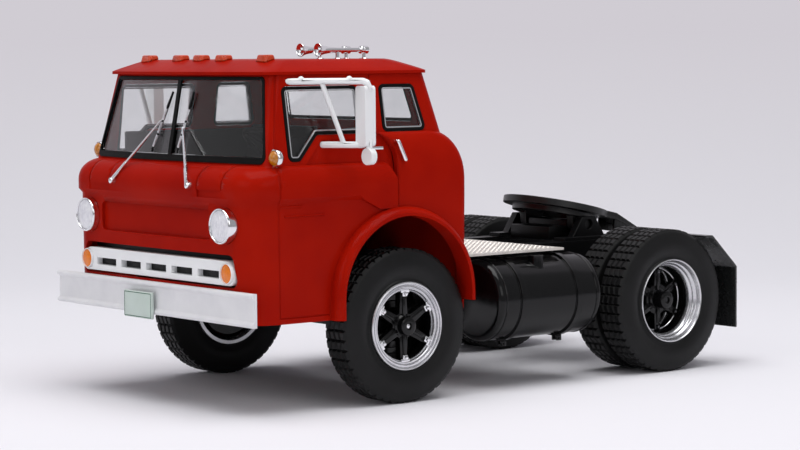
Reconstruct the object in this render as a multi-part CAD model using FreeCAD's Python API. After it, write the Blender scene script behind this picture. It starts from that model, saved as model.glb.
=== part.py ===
import FreeCAD, Part
import math
import os

# A 1:43 collector's model of a cab-over tractor unit: a hollow die-cast cab on a
# moulded chassis, with push-on wheels and a tilting fifth wheel.
# +X is the front, +Y the truck's left, +Z up. The ground is z = 0.

V = FreeCAD.Vector

# Running gear
tyre_radius = 12.2
front_axle_x = 21.3
wheelbase = 57.7
cab_half_width = 26.0
rear_axle_x = front_axle_x - wheelbase
pin_radius = 0.75
running_gap = 0.06
fit_gap = 0.05
overrun = 2.0

# Tyres, rims and hubs
tyre_width = 5.9
tread_width = 4.9
bead_width = 5.0
tyre_wall = 5.2
rim_radius = tyre_radius - tyre_wall
bulge_rise = 2.4
bulge_radius = rim_radius + bulge_rise
shoulder_drop = 0.7
front_tyre_inset = 1.75
front_tyre_y = cab_half_width - front_tyre_inset
outer_tyre_inset = 1.5
outer_tyre_y = cab_half_width - outer_tyre_inset
dual_pitch = 6.4
inner_tyre_y = outer_tyre_y - dual_pitch
rim_wall = 0.5
rim_lip_width = 0.5
rim_lip_height = 0.3
rim_lip_gap = 0.15
rim_dish = 1.3
rim_bore_radius = rim_radius - rim_dish
hub_spokes = 6
front_hub_radius = 2.2
front_drum_depth = 1.6
rear_drum_depth = 5.6
rear_hub_radius = 2.7
hub_cap_radius = 1.5
hub_cap_height = 0.7
spoke_root_width = 1.7
spoke_tip_width = 1.15
spoke_thickness = 1.3
clamp_length = 0.9
clamp_width = 1.1
clamp_height = 0.5
wheel_face_y = outer_tyre_y + bead_width / 2 + rim_lip_width
front_hub_depth = 1.3
rear_hub_depth = 3.6
front_cap_depth = 0.6
rear_cap_depth = 1.9

# Cab body
sill_rise = 1.8
sill_z = tyre_radius + sill_rise
arch_rise = 4.7
arch_z = tyre_radius + arch_rise
arch_gap = 0.4
arch_radius = tyre_radius + arch_gap
flare_width = 1.35
tail_gap = 1.0
cab_rear_x = front_axle_x - arch_radius - tail_gap
nose_reach = 29.2
panel_x = front_axle_x + nose_reach
sill_tuck = 0.35
nose_corner_radius = 5.6
rear_corner_radius = 1.6
nose_bow = 0.5
crease_gap = 1.45
crease_z = arch_z + arch_radius + flare_width + crease_gap
shoulder_proud = 0.45
shoulder_lip = 0.7
shoulder_straight = 2.2
belt_rise = 5.6
belt_z = crease_z + belt_rise
shoulder_side_roll = 1.95
shoulder_front_roll = 3.4
quarter_rise = 10.2
quarter_top_z = crease_z + quarter_rise
quarter_straight = 2.7
quarter_side_roll = 2.0
quarter_rear_roll = 4.5
roll_steps = 4
cab_wall = 1.0

# Upper cab and roof
screen_setback = 3.0
screen_rake = 2.6
screen_foot_x = panel_x - screen_setback
screen_head_x = screen_foot_x - screen_rake
screen_bow = 1.6
upper_tuck = 1.4
upper_lean = 2.3
upper_half_foot = cab_half_width - upper_tuck
upper_half_head = upper_half_foot - upper_lean
upper_corner_radius = 1.5
upper_rear_setback = 2.0
upper_rear_rake = 3.4
upper_rear_foot_x = cab_rear_x + upper_rear_setback
upper_rear_head_x = upper_rear_foot_x + upper_rear_rake
upper_rear_radius = 2.0
window_rise = 13.7
eave_z = belt_z + window_rise
rail_height = 0.45
rail_proud = 0.4
brim_proud = 1.0
roof_rise = 2.3
roof_top_z = eave_z + roof_rise
roof_side_roll = 3.9
roof_front_roll = 4.9
roof_rear_roll = 4.2
roof_roll_shares = ((0, 0), (0.3, 0.36), (0.62, 0.7), (0.86, 0.92), (1, 1))

# Door and quarter panel lines
door_rear_reach = 14.3
door_rear_x = cab_rear_x + door_rear_reach
door_rear_lean = 2.9
door_rear_top_x = door_rear_x + door_rear_lean
door_curve_rise = 6.3
door_curve_middle_share = 0.2
door_front_foot_setback = 5.8
door_front_crease_setback = 5.5
door_front_belt_setback = 5.75
door_front_head_setback = 7.9
door_foot_rise = 0.9
shoulder_end_gap = 0.45
shoulder_end_radius = 2.4
shoulder_dip_reach = 7.8
shoulder_dip = 1.6
seam_radius = 0.15
ridge_radius = 0.17
ridge_setbacks = ((5.9, 9.9), (6.6, 14.1))
ridge_drops = (0.5, 1.95)
pad_inner_y = 12.5
pad_outer_y = 18.8
pad_low_rise = 0.8
pad_high_rise = 1.9
pad_depth = 0.3

# Windows, seen from the side or the front
screen_pillar_foot = 0.8
screen_pillar_head = 1.7
screen_sill_rise = 0.2
screen_sill_z = belt_z + screen_sill_rise
screen_head_drop = 0.25
screen_head_z = eave_z - screen_head_drop
screen_half_foot = upper_half_foot - screen_pillar_foot
screen_half_head = upper_half_head - screen_pillar_head
screen_sill_seal = 0.45
window_radius = 1.0
door_window_setback = 5.4
door_window_rear_x = door_rear_x + door_window_setback
door_window_bend_setback = 11.4
door_window_bend_x = screen_foot_x - door_window_bend_setback
door_window_nose_setback = 7.7
door_window_nose_x = screen_foot_x - door_window_nose_setback
door_window_front_setback = 5.5
door_window_front_x = screen_foot_x - door_window_front_setback
door_window_sill_rise = 4.45
door_window_sill_z = belt_z + door_window_sill_rise
door_window_nose_rise = 0.5
door_window_nose_z = belt_z + door_window_nose_rise
door_window_head_drop = 1.75
door_window_head_z = eave_z - door_window_head_drop
quarter_window_front_reach = 1.3
quarter_window_front_x = door_rear_x + quarter_window_front_reach
quarter_window_head_reach = 8.6
quarter_window_head_x = cab_rear_x + quarter_window_head_reach
quarter_window_foot_reach = 6.8
quarter_window_foot_x = cab_rear_x + quarter_window_foot_reach
quarter_window_sill_rise = 4.6
quarter_window_sill_z = belt_z + quarter_window_sill_rise
quarter_window_head_drop = 1.65
quarter_window_head_z = eave_z - quarter_window_head_drop
rear_window_inset = 7.1
rear_window_half_foot = upper_half_foot - rear_window_inset
rear_window_taper = 1.0
rear_window_half_head = rear_window_half_foot - rear_window_taper
rear_window_sill_rise = 5.8
rear_window_sill_z = belt_z + rear_window_sill_rise
rear_window_head_drop = 1.4
rear_window_head_z = eave_z - rear_window_head_drop
seal_width = 0.55
seal_proud = 0.12
seal_depth = 0.8
glass_thickness = 0.4
glass_depth = 0.25
divider_width = 0.9
recess_depth = 0.3
recess_margin = 0.75

# Wheel arch
flare_lip = 0.5
flare_stand_out = 2.0
flare_y = cab_half_width + flare_stand_out
arch_rear_leg_rise = 1.5
arch_rear_leg_z = sill_z + arch_rear_leg_rise
frame_notch_gap = 0.3

# Nose
lamp_inset = 6.75
lamp_y = cab_half_width - lamp_inset
lamp_drop = 3.4
lamp_z = crease_z - lamp_drop
bezel_radius = 2.75
bezel_wall = 0.4
bezel_front_reach = 0.85
bezel_front_x = panel_x + bezel_front_reach
bezel_depth = 2.2
lens_dome = 0.55
pocket_inset = 3.65
pocket_half_width = lamp_y - pocket_inset
pocket_low_drop = 2.3
pocket_low_z = lamp_z - pocket_low_drop
pocket_high_drop = 1.1
pocket_high_z = crease_z - pocket_high_drop
pocket_depth = 0.3
pocket_radius = 0.8
bumper_front_reach = 1.0
bumper_front_x = panel_x + bumper_front_reach
bumper_low_rise = 0.1
bumper_low_z = sill_z + bumper_low_rise
bumper_height = 5.15
bumper_high_z = bumper_low_z + bumper_height
bumper_bead = 0.85
bumper_recess = 0.4
grille_low_rise = 0.25
grille_low_z = bumper_high_z + grille_low_rise
grille_high_drop = 4.4
grille_high_z = lamp_z - grille_high_drop
grille_inset = 3.9
grille_half_foot = cab_half_width - grille_inset
grille_taper = 1.2
grille_half_head = grille_half_foot - grille_taper
grille_radius = 1.2
bar_inset = 0.7
bar_half_width = grille_half_foot - bar_inset
bar_low_rise = 0.35
bar_low_z = grille_low_z + bar_low_rise
bar_high_drop = 0.9
bar_high_z = grille_high_z - bar_high_drop
bar_front_setback = 0.3
bar_front_x = panel_x - bar_front_setback
bar_thickness = 1.6
bar_end_share = 0.37
bar_slots = 5
bar_slot_pitch = 6.3
bar_slot_width = 3.9
bar_slot_height = 1.5
signal_inset = 1.45
signal_radius = 1.4
signal_proud = 0.45
plate_width = 8.0
plate_height = 4.2
plate_thickness = 0.55
plate_drop = 0.7
plate_y = -2.5
plate_radius = 0.4

# Cab furniture
corner_lamp_setback = 5.5
corner_lamp_x = panel_x - corner_lamp_setback
corner_lamp_stand_out = 0.3
corner_lamp_y = upper_half_foot + corner_lamp_stand_out
corner_lamp_rise = 1.2
corner_lamp_z = belt_z + corner_lamp_rise
corner_lamp_radius = 1.4
corner_lamp_length = 0.7
corner_lamp_dome = 0.6
corner_lamp_cone = 0.8
corner_lamp_back_radius = 0.6
corner_lamp_foot_radius = 0.45
marker_x = screen_head_x + brim_proud - roof_front_roll
marker_outer_inset = 6.0
marker_outer_y = upper_half_head - marker_outer_inset
marker_pitch = 6.05
marker_width = 3.3
marker_length = 2.6
marker_taper = 0.45
marker_height = 0.75
marker_foot = 1.3
horn_bell_reach = 19.3
horn_bell_x = cab_rear_x + horn_bell_reach
horn_length = 10.0
horn_ys = (7.3, 12.0)
horn_bell_radius = 1.1
horn_gap = 0.3
horn_z = roof_top_z + horn_gap + horn_bell_radius
horn_tube_radius = 0.36
horn_driver_radius = 0.65
horn_driver_length = 1.5
horn_bell_length = 3.2
horn_wall = 0.3
horn_post = 0.7
wiper_pivot_y = 10.9
wiper_pivot_rise = 2.45
wiper_pivot_proud = 0.75
wiper_boss_radius = 0.5
wiper_arm_width = 0.45
wiper_blade_width = 0.55
wiper_thickness = 0.3
wiper_lift = 0.12
wiper_blade_low_ys = (-5.4, 2.0)
wiper_blade_high_ys = (-1.5, 4.3)
wiper_blade_low_rise = 1.5
wiper_blade_low_z = belt_z + wiper_blade_low_rise
wiper_blade_high_rise = 11.0
wiper_blade_high_z = belt_z + wiper_blade_high_rise
wiper_arm_shares = (0.53, 0.42)
handle_reach = 2.2
handle_x = door_rear_x + handle_reach
handle_rise = 2.15
handle_z = belt_z + handle_rise
handle_length = 2.6
handle_stand = 0.6
handle_radius = 0.3
handle_stem_radius = 0.22
grab_top_reach = 0.1
grab_top_x = door_rear_x + grab_top_reach
grab_low_setback = 1.1
grab_low_x = door_rear_x - grab_low_setback
grab_high_drop = 1.5
grab_high_z = quarter_top_z - grab_high_drop
grab_low_drop = 4.3
grab_low_z = quarter_top_z - grab_low_drop
grab_radius = 0.34
grab_stand = 0.45

# Mirrors
mirror_tube_radius = 0.5
mirror_setback = 16.6
mirror_x = screen_foot_x - mirror_setback
mirror_stand_out = 3.3
mirror_y = cab_half_width + mirror_stand_out
mirror_outer_stand_out = 0.85
mirror_outer_y = mirror_y + mirror_outer_stand_out
mirror_top_drop = 1.05
mirror_top_z = eave_z - mirror_top_drop
mirror_bend = 0.9
mirror_low_rise = 2.95
mirror_low_z = belt_z + mirror_low_rise
mirror_top_foot_setback = 6.7
mirror_top_foot_x = screen_foot_x - mirror_top_foot_setback
mirror_low_foot_setback = 12.3
mirror_low_foot_x = screen_foot_x - mirror_low_foot_setback
mirror_head_width = 2.5
mirror_head_depth = 2.0
mirror_head_low_rise = 2.7
mirror_head_low_z = belt_z + mirror_head_low_rise
mirror_head_high_drop = 1.75
mirror_head_high_z = eave_z - mirror_head_high_drop
mirror_head_radius = 0.6
mirror_brace_radius = 0.38
mirror_brace_top_share = 0.44
mirror_brace_low_share = 0.52
mirror_clamp_shares = (0.2, 0.77)
mirror_clamp_radius = 0.5
mirror_clamp_rise = 0.3
mirror_round_radius = 1.3
mirror_round_thickness = 1.1
mirror_round_drop = 1.5
mirror_foot_sink = 0.5

# Interior
floor_drop = 2.0
floor_z = crease_z - floor_drop
floor_thickness = 0.9
interior_gap = 0.3
interior_front_x = screen_foot_x - screen_bow - cab_wall - interior_gap
dash_length = 4.4
dash_rear_x = interior_front_x - dash_length
dash_top_drop = 0.3
dash_top_z = belt_z - dash_top_drop
dash_face_drop = 2.2
seat_front_reach = 21.3
seat_front_x = cab_rear_x + seat_front_reach
seat_rear_reach = 6.5
seat_rear_x = cab_rear_x + seat_rear_reach
seat_top_rise = 5.1
seat_top_z = floor_z + seat_top_rise
seat_back_thickness = 2.6
seat_back_lean = 1.6
seat_back_rise = 12.3
seat_back_z = floor_z + seat_back_rise
seat_width = 15.5
seat_inset = 12.8
seat_y = cab_half_width - seat_inset
dash_round = 0.7
trim_thickness = 0.6
trim_high_drop = 0.3
trim_high_z = door_window_sill_z - trim_high_drop
trim_front_reach = 1.0
trim_front_x = dash_rear_x + trim_front_reach
steering_setback = 3.8
steering_x = dash_rear_x - steering_setback
steering_inset = 1.0
steering_y = seat_y - steering_inset
steering_rise = 2.3
steering_z = belt_z + steering_rise
steering_radius = 4.6
steering_rim = 0.35
steering_spokes = 3
steering_spoke_radius = 0.28
steering_hub = 0.8
steering_tilt = 38
column_radius = 0.5

# Chassis
rail_front_setback = 3.0
rail_front_x = panel_x - rail_front_setback
rail_half_width = 10.0
rail_web = 0.9
rail_flange = 2.8
rail_flange_thickness = 0.8
rail_low_rise = 4.2
rail_low_z = tyre_radius + rail_low_rise
rail_height_z = 5.4
rail_high_z = rail_low_z + rail_height_z
flap_gap = 0.3
flap_hanger_x = rear_axle_x - math.sqrt((tyre_radius + flap_gap) ** 2 - (rail_high_z - tyre_radius) ** 2)
rail_tail = 2.8
rail_rear_x = flap_hanger_x - rail_tail
cross_width = 2.0
cross_front_setback = 2.5
cross_front_x = rail_front_x - cross_front_setback
cross_rear_reach = 1.0
cross_rear_x = rail_rear_x + cross_rear_reach
cross_cab_reach = 1.9
cross_cab_x = cab_rear_x + cross_cab_reach
cross_middle_shares = (0.405, 0.638)
plinth_boss_radius = 2.1
plinth_hole_radius = 0.95
plinth_hole_depth = 3.8
plinth_boss_drop = 2.0
engine_front_setback = 8.5
engine_front_x = panel_x - engine_front_setback
engine_rear_reach = 5.8
engine_rear_x = cab_rear_x + engine_rear_reach
engine_half_width = 6.9
engine_low_rise = 1.4
engine_low_z = tyre_radius + engine_low_rise
engine_high_drop = 1.7
engine_high_z = floor_z - engine_high_drop
axle_half = 1.25
front_axle_inset = 5.65
front_axle_half_length = front_tyre_y - front_axle_inset
knuckle_inset = 2.95
knuckle_reach = front_tyre_y - knuckle_inset
knuckle_radius = 1.8
rear_axle_inset = 3.9
rear_axle_half_length = inner_tyre_y - rear_axle_inset
rear_axle_radius = 1.7
differential_radius = 3.5
differential_length = 5.0
differential_nose_radius = 2.8
differential_nose_end_radius = 1.4
differential_nose_length = 4.9
spring_y = 8.6
spring_width = 1.7
spring_span = 19.0
spring_leaf = 0.45
spring_leaves = 4
spring_leaf_step = 2.0
spring_hanger_gap = 0.2
spring_eye_radius = 0.6
shaft_radius = 0.7
shaft_yoke_radius = 1.1
shaft_yoke_length = 1.6
shaft_front_drop = 1.2
shaft_front_z = rail_low_z - shaft_front_drop

# Tanks and catwalk
tank_front_setback = 6.0
tank_front_x = cab_rear_x - tank_front_setback
tank_rear_reach = 3.2
tank_rear_x = rear_axle_x + tyre_radius + tank_rear_reach
tank_radius = 6.7
tank_drop = 0.8
tank_z = rail_high_z - tank_drop - tank_radius
tank_offset = 2.0
tank_y = (rail_half_width + cab_half_width) / 2 + tank_offset
tank_end_round = 1.0
strap_shares = (0.225, 0.762)
strap_width = 1.1
strap_thickness = 0.3
tank_bracket_height = 1.6
cap_share = 0.47
cap_radius = 1.2
cap_height = 0.7
catwalk_front_setback = 1.5
catwalk_front_x = cab_rear_x - catwalk_front_setback
catwalk_rear_reach = 5.2
catwalk_rear_x = tank_rear_x + catwalk_rear_reach
catwalk_inset = 3.3
catwalk_half_width = cab_half_width - catwalk_inset
catwalk_thickness = 0.4

# Fifth wheel, drawn level about its pivot and then tipped back
pivot_ahead = 2.5
pivot_x = rear_axle_x + pivot_ahead
pivot_rise = 2.7
pivot_z = rail_high_z + pivot_rise
fifth_tilt = 12.5
fifth_radius = 9.4
fifth_thickness = 1.2
fifth_height = 3.3
fifth_skirt = 1.0
fifth_skirt_inset = 1.8
fifth_skirt_wall = 1.6
ramp_reach = 14.6
ramp_outer_y = 7.6
ramp_inner_y = 3.1
ramp_drop = 1.3
ramp_start_share = 0.85
ramp_root_share = 0.5
jaw_radius = 1.0
jaw_neck = 1.3
jaw_neck_length = 2.2
throat_mouth = 5.6
saddle_y = 6.2
saddle_width = 1.6
saddle_half_length = 2.6
saddle_half_foot = 1.3
saddle_drop = 1.1
trunnion_radius = 0.8
trunnion_length = 2.6
pedestal_y = 8.6
pedestal_width = 1.5
pedestal_half_foot = 4.2
pedestal_half_head = 1.5
pedestal_head_wall = 0.5
pedestal_plate_thickness = 0.6
pedestal_plate_inset = 5.8
pedestal_plate_half_length = tyre_radius - pedestal_plate_inset

# Rear end
flap_hanger_length = 1.5
flap_bend_x = flap_hanger_x - flap_hanger_length
flap_run = 5.8
flap_x = flap_bend_x - flap_run
flap_hanger_rise = 0.7
flap_hanger_z = rail_high_z + flap_hanger_rise
flap_bend_rise = 4.8
flap_bend_z = tyre_radius + flap_bend_rise
flap_length = 10.5
flap_low_z = flap_bend_z - flap_length
flap_thickness = 0.4
flap_inner_inset = 2.5
flap_inner_y = inner_tyre_y - flap_inner_inset
flap_overlap = 3.1
flap_outer_y = outer_tyre_y + flap_overlap
tail_lamp_radius = 1.0
tail_lamp_depth = 0.6


def solid(shape):
    """Clean a boolean result and hand back its plain solid or compound."""
    shape = shape.removeSplitter()
    if shape.ShapeType == "Compound" and len(shape.Solids) == 1:
        return shape.Solids[0]
    return shape


def tube(points, radius):
    """A round bar through the points, with a ball at each turn."""
    parts = [rod(start, end, radius) for start, end in zip(points, points[1:])]
    parts += [Part.makeSphere(radius, V(*point)) for point in points[1:-1]]
    return parts[0].multiFuse(parts[1:])


def fine_line(points, radius):
    """A fine round line swept along points that lie on a panel."""
    path = Part.makePolygon([V(*point) for point in points])
    start, following = V(*points[0]), V(*points[1])
    ring = Part.Wire([Part.makeCircle(radius, start, following - start)])
    return path.makePipeShell([ring], True, False, 1)


def mirrored(shape):
    return shape.mirror(V(0, 0, 0), V(0, 1, 0))


def pair(shape):
    """The left piece and its twin on the right."""
    return Part.makeCompound([shape, mirrored(shape)])


def box(low, high):
    low, high = V(*low), V(*high)
    size = high - low
    return Part.makeBox(size.x, size.y, size.z, low)


def rod(start, end, radius):
    start, end = V(*start), V(*end)
    return Part.makeCylinder(radius, (end - start).Length, start, end - start)


def rounded_wire(corners, radius):
    """A closed wire through the corners, each turned with the same radius."""
    corners = [V(*corner) for corner in corners]
    count = len(corners)
    starts, arcs = [], []
    for index, corner in enumerate(corners):
        before = (corners[index - 1] - corner).normalize()
        after = (corners[(index + 1) % count] - corner).normalize()
        half = before.getAngle(after) / 2
        inward = (before + after).normalize()
        tangent = radius / math.tan(half)
        middle = corner + inward * (radius / math.sin(half) - radius)
        ends = (corner + before * tangent, corner + after * tangent)
        starts.append(ends)
        arcs.append(Part.Arc(ends[0], middle, ends[1]).toShape())
    edges = []
    for index in range(count):
        edges.append(arcs[index])
        following = starts[(index + 1) % count]
        edges.append(Part.makeLine(starts[index][1], following[0]))
    return Part.Wire(edges)


def prism_along_y(points, y_low, y_high, radius=0):
    corners = [(x, y_low, z) for x, z in points]
    return Part.Face(closed_wire(corners, radius)).extrude(V(0, y_high - y_low, 0))


def prism_along_x(points, x_low, x_high, radius=0):
    corners = [(x_low, y, z) for y, z in points]
    return Part.Face(closed_wire(corners, radius)).extrude(V(x_high - x_low, 0, 0))


def prism_along_z(points, z_low, z_high, radius=0):
    corners = [(x, y, z_low) for x, y in points]
    return Part.Face(closed_wire(corners, radius)).extrude(V(0, 0, z_high - z_low))


def closed_wire(corners, radius):
    if radius:
        return rounded_wire(corners, radius)
    return Part.makePolygon([V(*corner) for corner in corners] + [V(*corners[0])])


def turned_about_y(profile, x, z):
    """Revolve a closed profile of (radius, y) points about a line along Y."""
    points = [V(x + r, y, z) for r, y in profile]
    face = Part.Face(Part.makePolygon(points + [points[0]]))
    return face.revolve(V(x, 0, z), V(0, 1, 0), 360)


def grown(points, margin):
    """A convex outline moved outwards by the margin, or inwards if it is negative."""
    count = len(points)
    turn = sum(
        points[i][0] * points[(i + 1) % count][1] - points[(i + 1) % count][0] * points[i][1]
        for i in range(count)
    )
    side = margin if turn > 0 else -margin
    lines = []
    for i in range(count):
        (x0, y0), (x1, y1) = points[i], points[(i + 1) % count]
        length = math.hypot(x1 - x0, y1 - y0)
        nx, ny = (y1 - y0) / length, (x0 - x1) / length
        lines.append((nx, ny, nx * x0 + ny * y0 + side))
    out = []
    for i in range(count):
        a0, b0, c0 = lines[i - 1]
        a1, b1, c1 = lines[i]
        det = a0 * b1 - a1 * b0
        out.append(((c0 * b1 - c1 * b0) / det, (a0 * c1 - a1 * c0) / det))
    return out


# Cab body

def plan_wire(z, front, rear, half, front_radius, rear_radius, bow):
    """The cab's outline at one height: a bowed front, rounded corners and a flat back."""
    chord = front - bow
    front_y = half - front_radius
    rear_y = half - rear_radius
    bend = 1 - math.sqrt(0.5)
    left = [
        Part.Arc(
            V(chord, front_y, z),
            V(chord - front_radius * bend, half - front_radius * bend, z),
            V(chord - front_radius, half, z),
        ).toShape(),
        Part.makeLine(V(chord - front_radius, half, z), V(rear + rear_radius, half, z)),
        Part.Arc(
            V(rear + rear_radius, half, z),
            V(rear + rear_radius * bend, half - rear_radius * bend, z),
            V(rear, rear_y, z),
        ).toShape(),
    ]
    right = [
        Part.Arc(
            V(rear, -rear_y, z),
            V(rear + rear_radius * bend, -half + rear_radius * bend, z),
            V(rear + rear_radius, -half, z),
        ).toShape(),
        Part.makeLine(V(rear + rear_radius, -half, z), V(chord - front_radius, -half, z)),
        Part.Arc(
            V(chord - front_radius, -half, z),
            V(chord - front_radius * bend, -half + front_radius * bend, z),
            V(chord, -front_y, z),
        ).toShape(),
    ]
    nose = Part.Arc(V(chord, -front_y, z), V(front, 0, z), V(chord, front_y, z)).toShape()
    back = Part.makeLine(V(rear, rear_y, z), V(rear, -rear_y, z))
    return Part.Wire([nose] + left + [back] + right)


def lower_body(inset):
    """The panels from the sill up to the crease."""
    low = sill_z - overrun if inset else sill_z
    wires = [
        plan_wire(low, panel_x - inset, cab_rear_x + inset, cab_half_width - sill_tuck - inset,
                  nose_corner_radius - inset, rear_corner_radius - inset / 2, nose_bow),
        plan_wire(crease_z, panel_x - inset, cab_rear_x + inset, cab_half_width - inset,
                  nose_corner_radius - inset, rear_corner_radius - inset / 2, nose_bow),
    ]
    return Part.makeLoft(wires, True, True)


def rolled_band(inset, low, straight, top, front, rear, half, rolls, bow, corner, lip):
    """A band with a bevelled lower edge that rises straight and then rolls inwards."""
    front_roll, side_roll, rear_roll = rolls
    lip_rise, lip_proud = lip
    top = top - inset
    bend_z = low + straight
    levels = [(low - inset, 0, lip_proud + inset), (low + lip_rise, 0, 0)]
    for step in range(roll_steps + 1):
        angle = math.pi / 2 * step / roll_steps
        levels.append((bend_z + (top - bend_z) * math.sin(angle), 1 - math.cos(angle), 0))
    wires = []
    for z, share, back in levels:
        wires.append(plan_wire(
            z, front - inset - back - front_roll * share, rear + inset + rear_roll * share,
            half - inset - back - side_roll * share,
            corner - inset, rear_corner_radius - inset / 2 + rear_roll * share / 2, bow))
    upright = Part.makeLoft(wires[:3], True, True)
    rolled = Part.makeLoft(wires[2:], True, False)
    return upright.fuse(rolled)


def shoulder(inset):
    """The bulge that runs round the nose and along the doors, and dips to the wheel arch."""
    proud_half = cab_half_width + shoulder_proud
    band = rolled_band(
        inset, crease_z, shoulder_straight, belt_z, panel_x + shoulder_proud, cab_rear_x, proud_half,
        (shoulder_front_roll, shoulder_side_roll, 0), nose_bow, nose_corner_radius,
        (shoulder_lip, shoulder_proud))
    if inset:
        return band
    end_x = door_rear_x + shoulder_end_gap
    outline = ((end_x, crease_z - overrun), (panel_x + overrun * 2, crease_z - overrun),
               (panel_x + overrun * 2, belt_z + overrun), (end_x + shoulder_end_radius, belt_z + overrun),
               (end_x, belt_z - shoulder_end_radius))
    wide = cab_half_width + overrun
    band = band.common(prism_along_y(outline, -wide, wide))
    dip_x = front_axle_x + shoulder_dip_reach
    dip = ((end_x, crease_z - shoulder_dip), (dip_x - shoulder_dip * 2, crease_z - shoulder_dip),
           (dip_x, crease_z), (dip_x + shoulder_lip, crease_z + shoulder_lip),
           (end_x, crease_z + shoulder_lip))
    dips = pair(prism_along_y(dip, cab_half_width - cab_wall / 2, proud_half))
    return band.fuse(dips)


def quarter(inset):
    """The rear corner panels and back, which roll in higher than the shoulder."""
    band = rolled_band(
        inset, crease_z, quarter_straight, quarter_top_z, panel_x, cab_rear_x, cab_half_width,
        (0, quarter_side_roll, quarter_rear_roll), nose_bow, nose_corner_radius, (shoulder_lip, 0))
    reach = cab_rear_x - overrun
    wide = cab_half_width + overrun
    curve_z = crease_z + door_curve_rise
    middle = V(door_rear_x + door_rear_lean * door_curve_middle_share, -wide,
               (curve_z + quarter_top_z) / 2)
    start, end = V(door_rear_x, -wide, curve_z), V(door_rear_top_x, -wide, quarter_top_z)
    low = V(door_rear_x, -wide, crease_z - overrun)
    edges = [Part.makeLine(low, start), Part.Arc(start, middle, end).toShape()]
    high_z = quarter_top_z + overrun
    corners = [end, V(door_rear_top_x, -wide, high_z), V(reach, -wide, high_z),
               V(reach, -wide, crease_z - overrun), low]
    edges += [Part.makeLine(a, b) for a, b in zip(corners, corners[1:])]
    return band.common(Part.Face(Part.Wire(edges)).extrude(V(0, wide * 2, 0)))


def upper_cab(inset):
    """The pillars and window frames between the belt and the eaves."""
    foot_z = belt_z - overrun
    slope = (foot_z - belt_z) / (eave_z - belt_z)
    wires = []
    for z, share in ((foot_z, slope), (eave_z, 1)):
        front = screen_foot_x + (screen_head_x - screen_foot_x) * share
        rear = upper_rear_foot_x + (upper_rear_head_x - upper_rear_foot_x) * share
        half = upper_half_foot + (upper_half_head - upper_half_foot) * share
        wires.append(plan_wire(z, front - inset, rear + inset, half - inset,
                               upper_corner_radius - inset, upper_rear_radius - inset / 2, screen_bow))
    return Part.makeLoft(wires, True, True)


def roof(inset):
    """The drip rail with its brim over the screen, and the bevelled roof above it."""
    half = upper_half_head + rail_proud
    front = screen_head_x + brim_proud
    rear = upper_rear_head_x - rail_proud
    if inset:
        rail_low = eave_z - cab_wall
        half, front, rear = upper_half_head - inset, screen_head_x - inset, upper_rear_head_x + inset
        front_roll = roof_front_roll - brim_proud
    else:
        rail_low = eave_z
        front_roll = roof_front_roll
    corner = upper_corner_radius + rail_proud - inset
    dome_z = eave_z + rail_height
    top = roof_top_z - inset
    wires = [plan_wire(rail_low, front, rear, half, corner, upper_rear_radius, screen_bow)]
    for share, rise in roof_roll_shares:
        wires.append(plan_wire(
            dome_z + (top - dome_z) * rise, front - front_roll * share, rear + roof_rear_roll * share,
            half - roof_side_roll * share, corner, upper_rear_radius + roof_rear_roll * share / 2,
            screen_bow))
    return Part.makeLoft(wires[:2], True, True).fuse(Part.makeLoft(wires[1:], True, False))


def cab_form(inset):
    return lower_body(inset).multiFuse([shoulder(inset), quarter(inset), upper_cab(inset), roof(inset)])


def arch_flare():
    """The rolled lip round one wheel opening: a turned arch with two straight legs."""
    back_y = cab_half_width - cab_wall
    lip_r = arch_radius + flare_lip
    flare_r = arch_radius + flare_width
    bend = math.sqrt(0.5)
    middle_r = lip_r + (flare_r - lip_r) * bend
    middle_y = cab_half_width + (flare_y - cab_half_width) * bend

    def face(side):
        def at(radius, y):
            return V(front_axle_x + side * radius, y, arch_z)
        corners = [at(flare_r, cab_half_width), at(flare_r, back_y), at(arch_radius, back_y),
                   at(arch_radius, flare_y), at(lip_r, flare_y)]
        edges = [Part.makeLine(a, b) for a, b in zip(corners, corners[1:])]
        edges.append(Part.Arc(corners[-1], at(middle_r, middle_y), corners[0]).toShape())
        return Part.Face(Part.Wire(edges))
    crown = face(1).revolve(V(front_axle_x, 0, arch_z), V(0, 1, 0), -180)
    front_leg = face(1).extrude(V(0, 0, sill_z - arch_z))
    rear_leg = face(-1).extrude(V(0, 0, arch_rear_leg_z - arch_z))
    return crown.multiFuse([front_leg, rear_leg])


def arch_opening():
    """What is cut from the side wall over one front wheel."""
    inner_y = cab_half_width - cab_wall - overrun
    outer_y = flare_y + overrun
    crown = rod((front_axle_x, inner_y, arch_z), (front_axle_x, outer_y, arch_z), arch_radius)
    legs = box((front_axle_x - arch_radius, inner_y, 0), (front_axle_x + arch_radius, outer_y, arch_z))
    return crown.fuse(legs)


def screen_outline(margin, lift):
    sill = screen_sill_z + lift
    return grown(((screen_half_foot, sill), (screen_half_head, screen_head_z),
                  (-screen_half_head, screen_head_z), (-screen_half_foot, sill)), margin)


def rear_window_outline(margin):
    return grown(((rear_window_half_foot, rear_window_sill_z), (rear_window_half_head, rear_window_head_z),
                  (-rear_window_half_head, rear_window_head_z),
                  (-rear_window_half_foot, rear_window_sill_z)), margin)


def window_radius_at(margin):
    return window_radius + margin


def screen_prism(margin, lift=0):
    rear = screen_head_x - screen_bow - upper_corner_radius
    return prism_along_x(screen_outline(margin, lift), rear, panel_x + overrun, window_radius_at(margin))


def door_window():
    return ((door_window_rear_x, door_window_sill_z), (door_window_bend_x, door_window_sill_z),
            (door_window_nose_x, door_window_nose_z), (door_window_front_x, door_window_nose_z),
            (door_window_front_x, door_window_head_z), (door_window_rear_x, door_window_head_z))


def quarter_window():
    return ((quarter_window_foot_x, quarter_window_sill_z), (quarter_window_front_x, quarter_window_sill_z),
            (quarter_window_front_x, quarter_window_head_z), (quarter_window_head_x, quarter_window_head_z))


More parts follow.
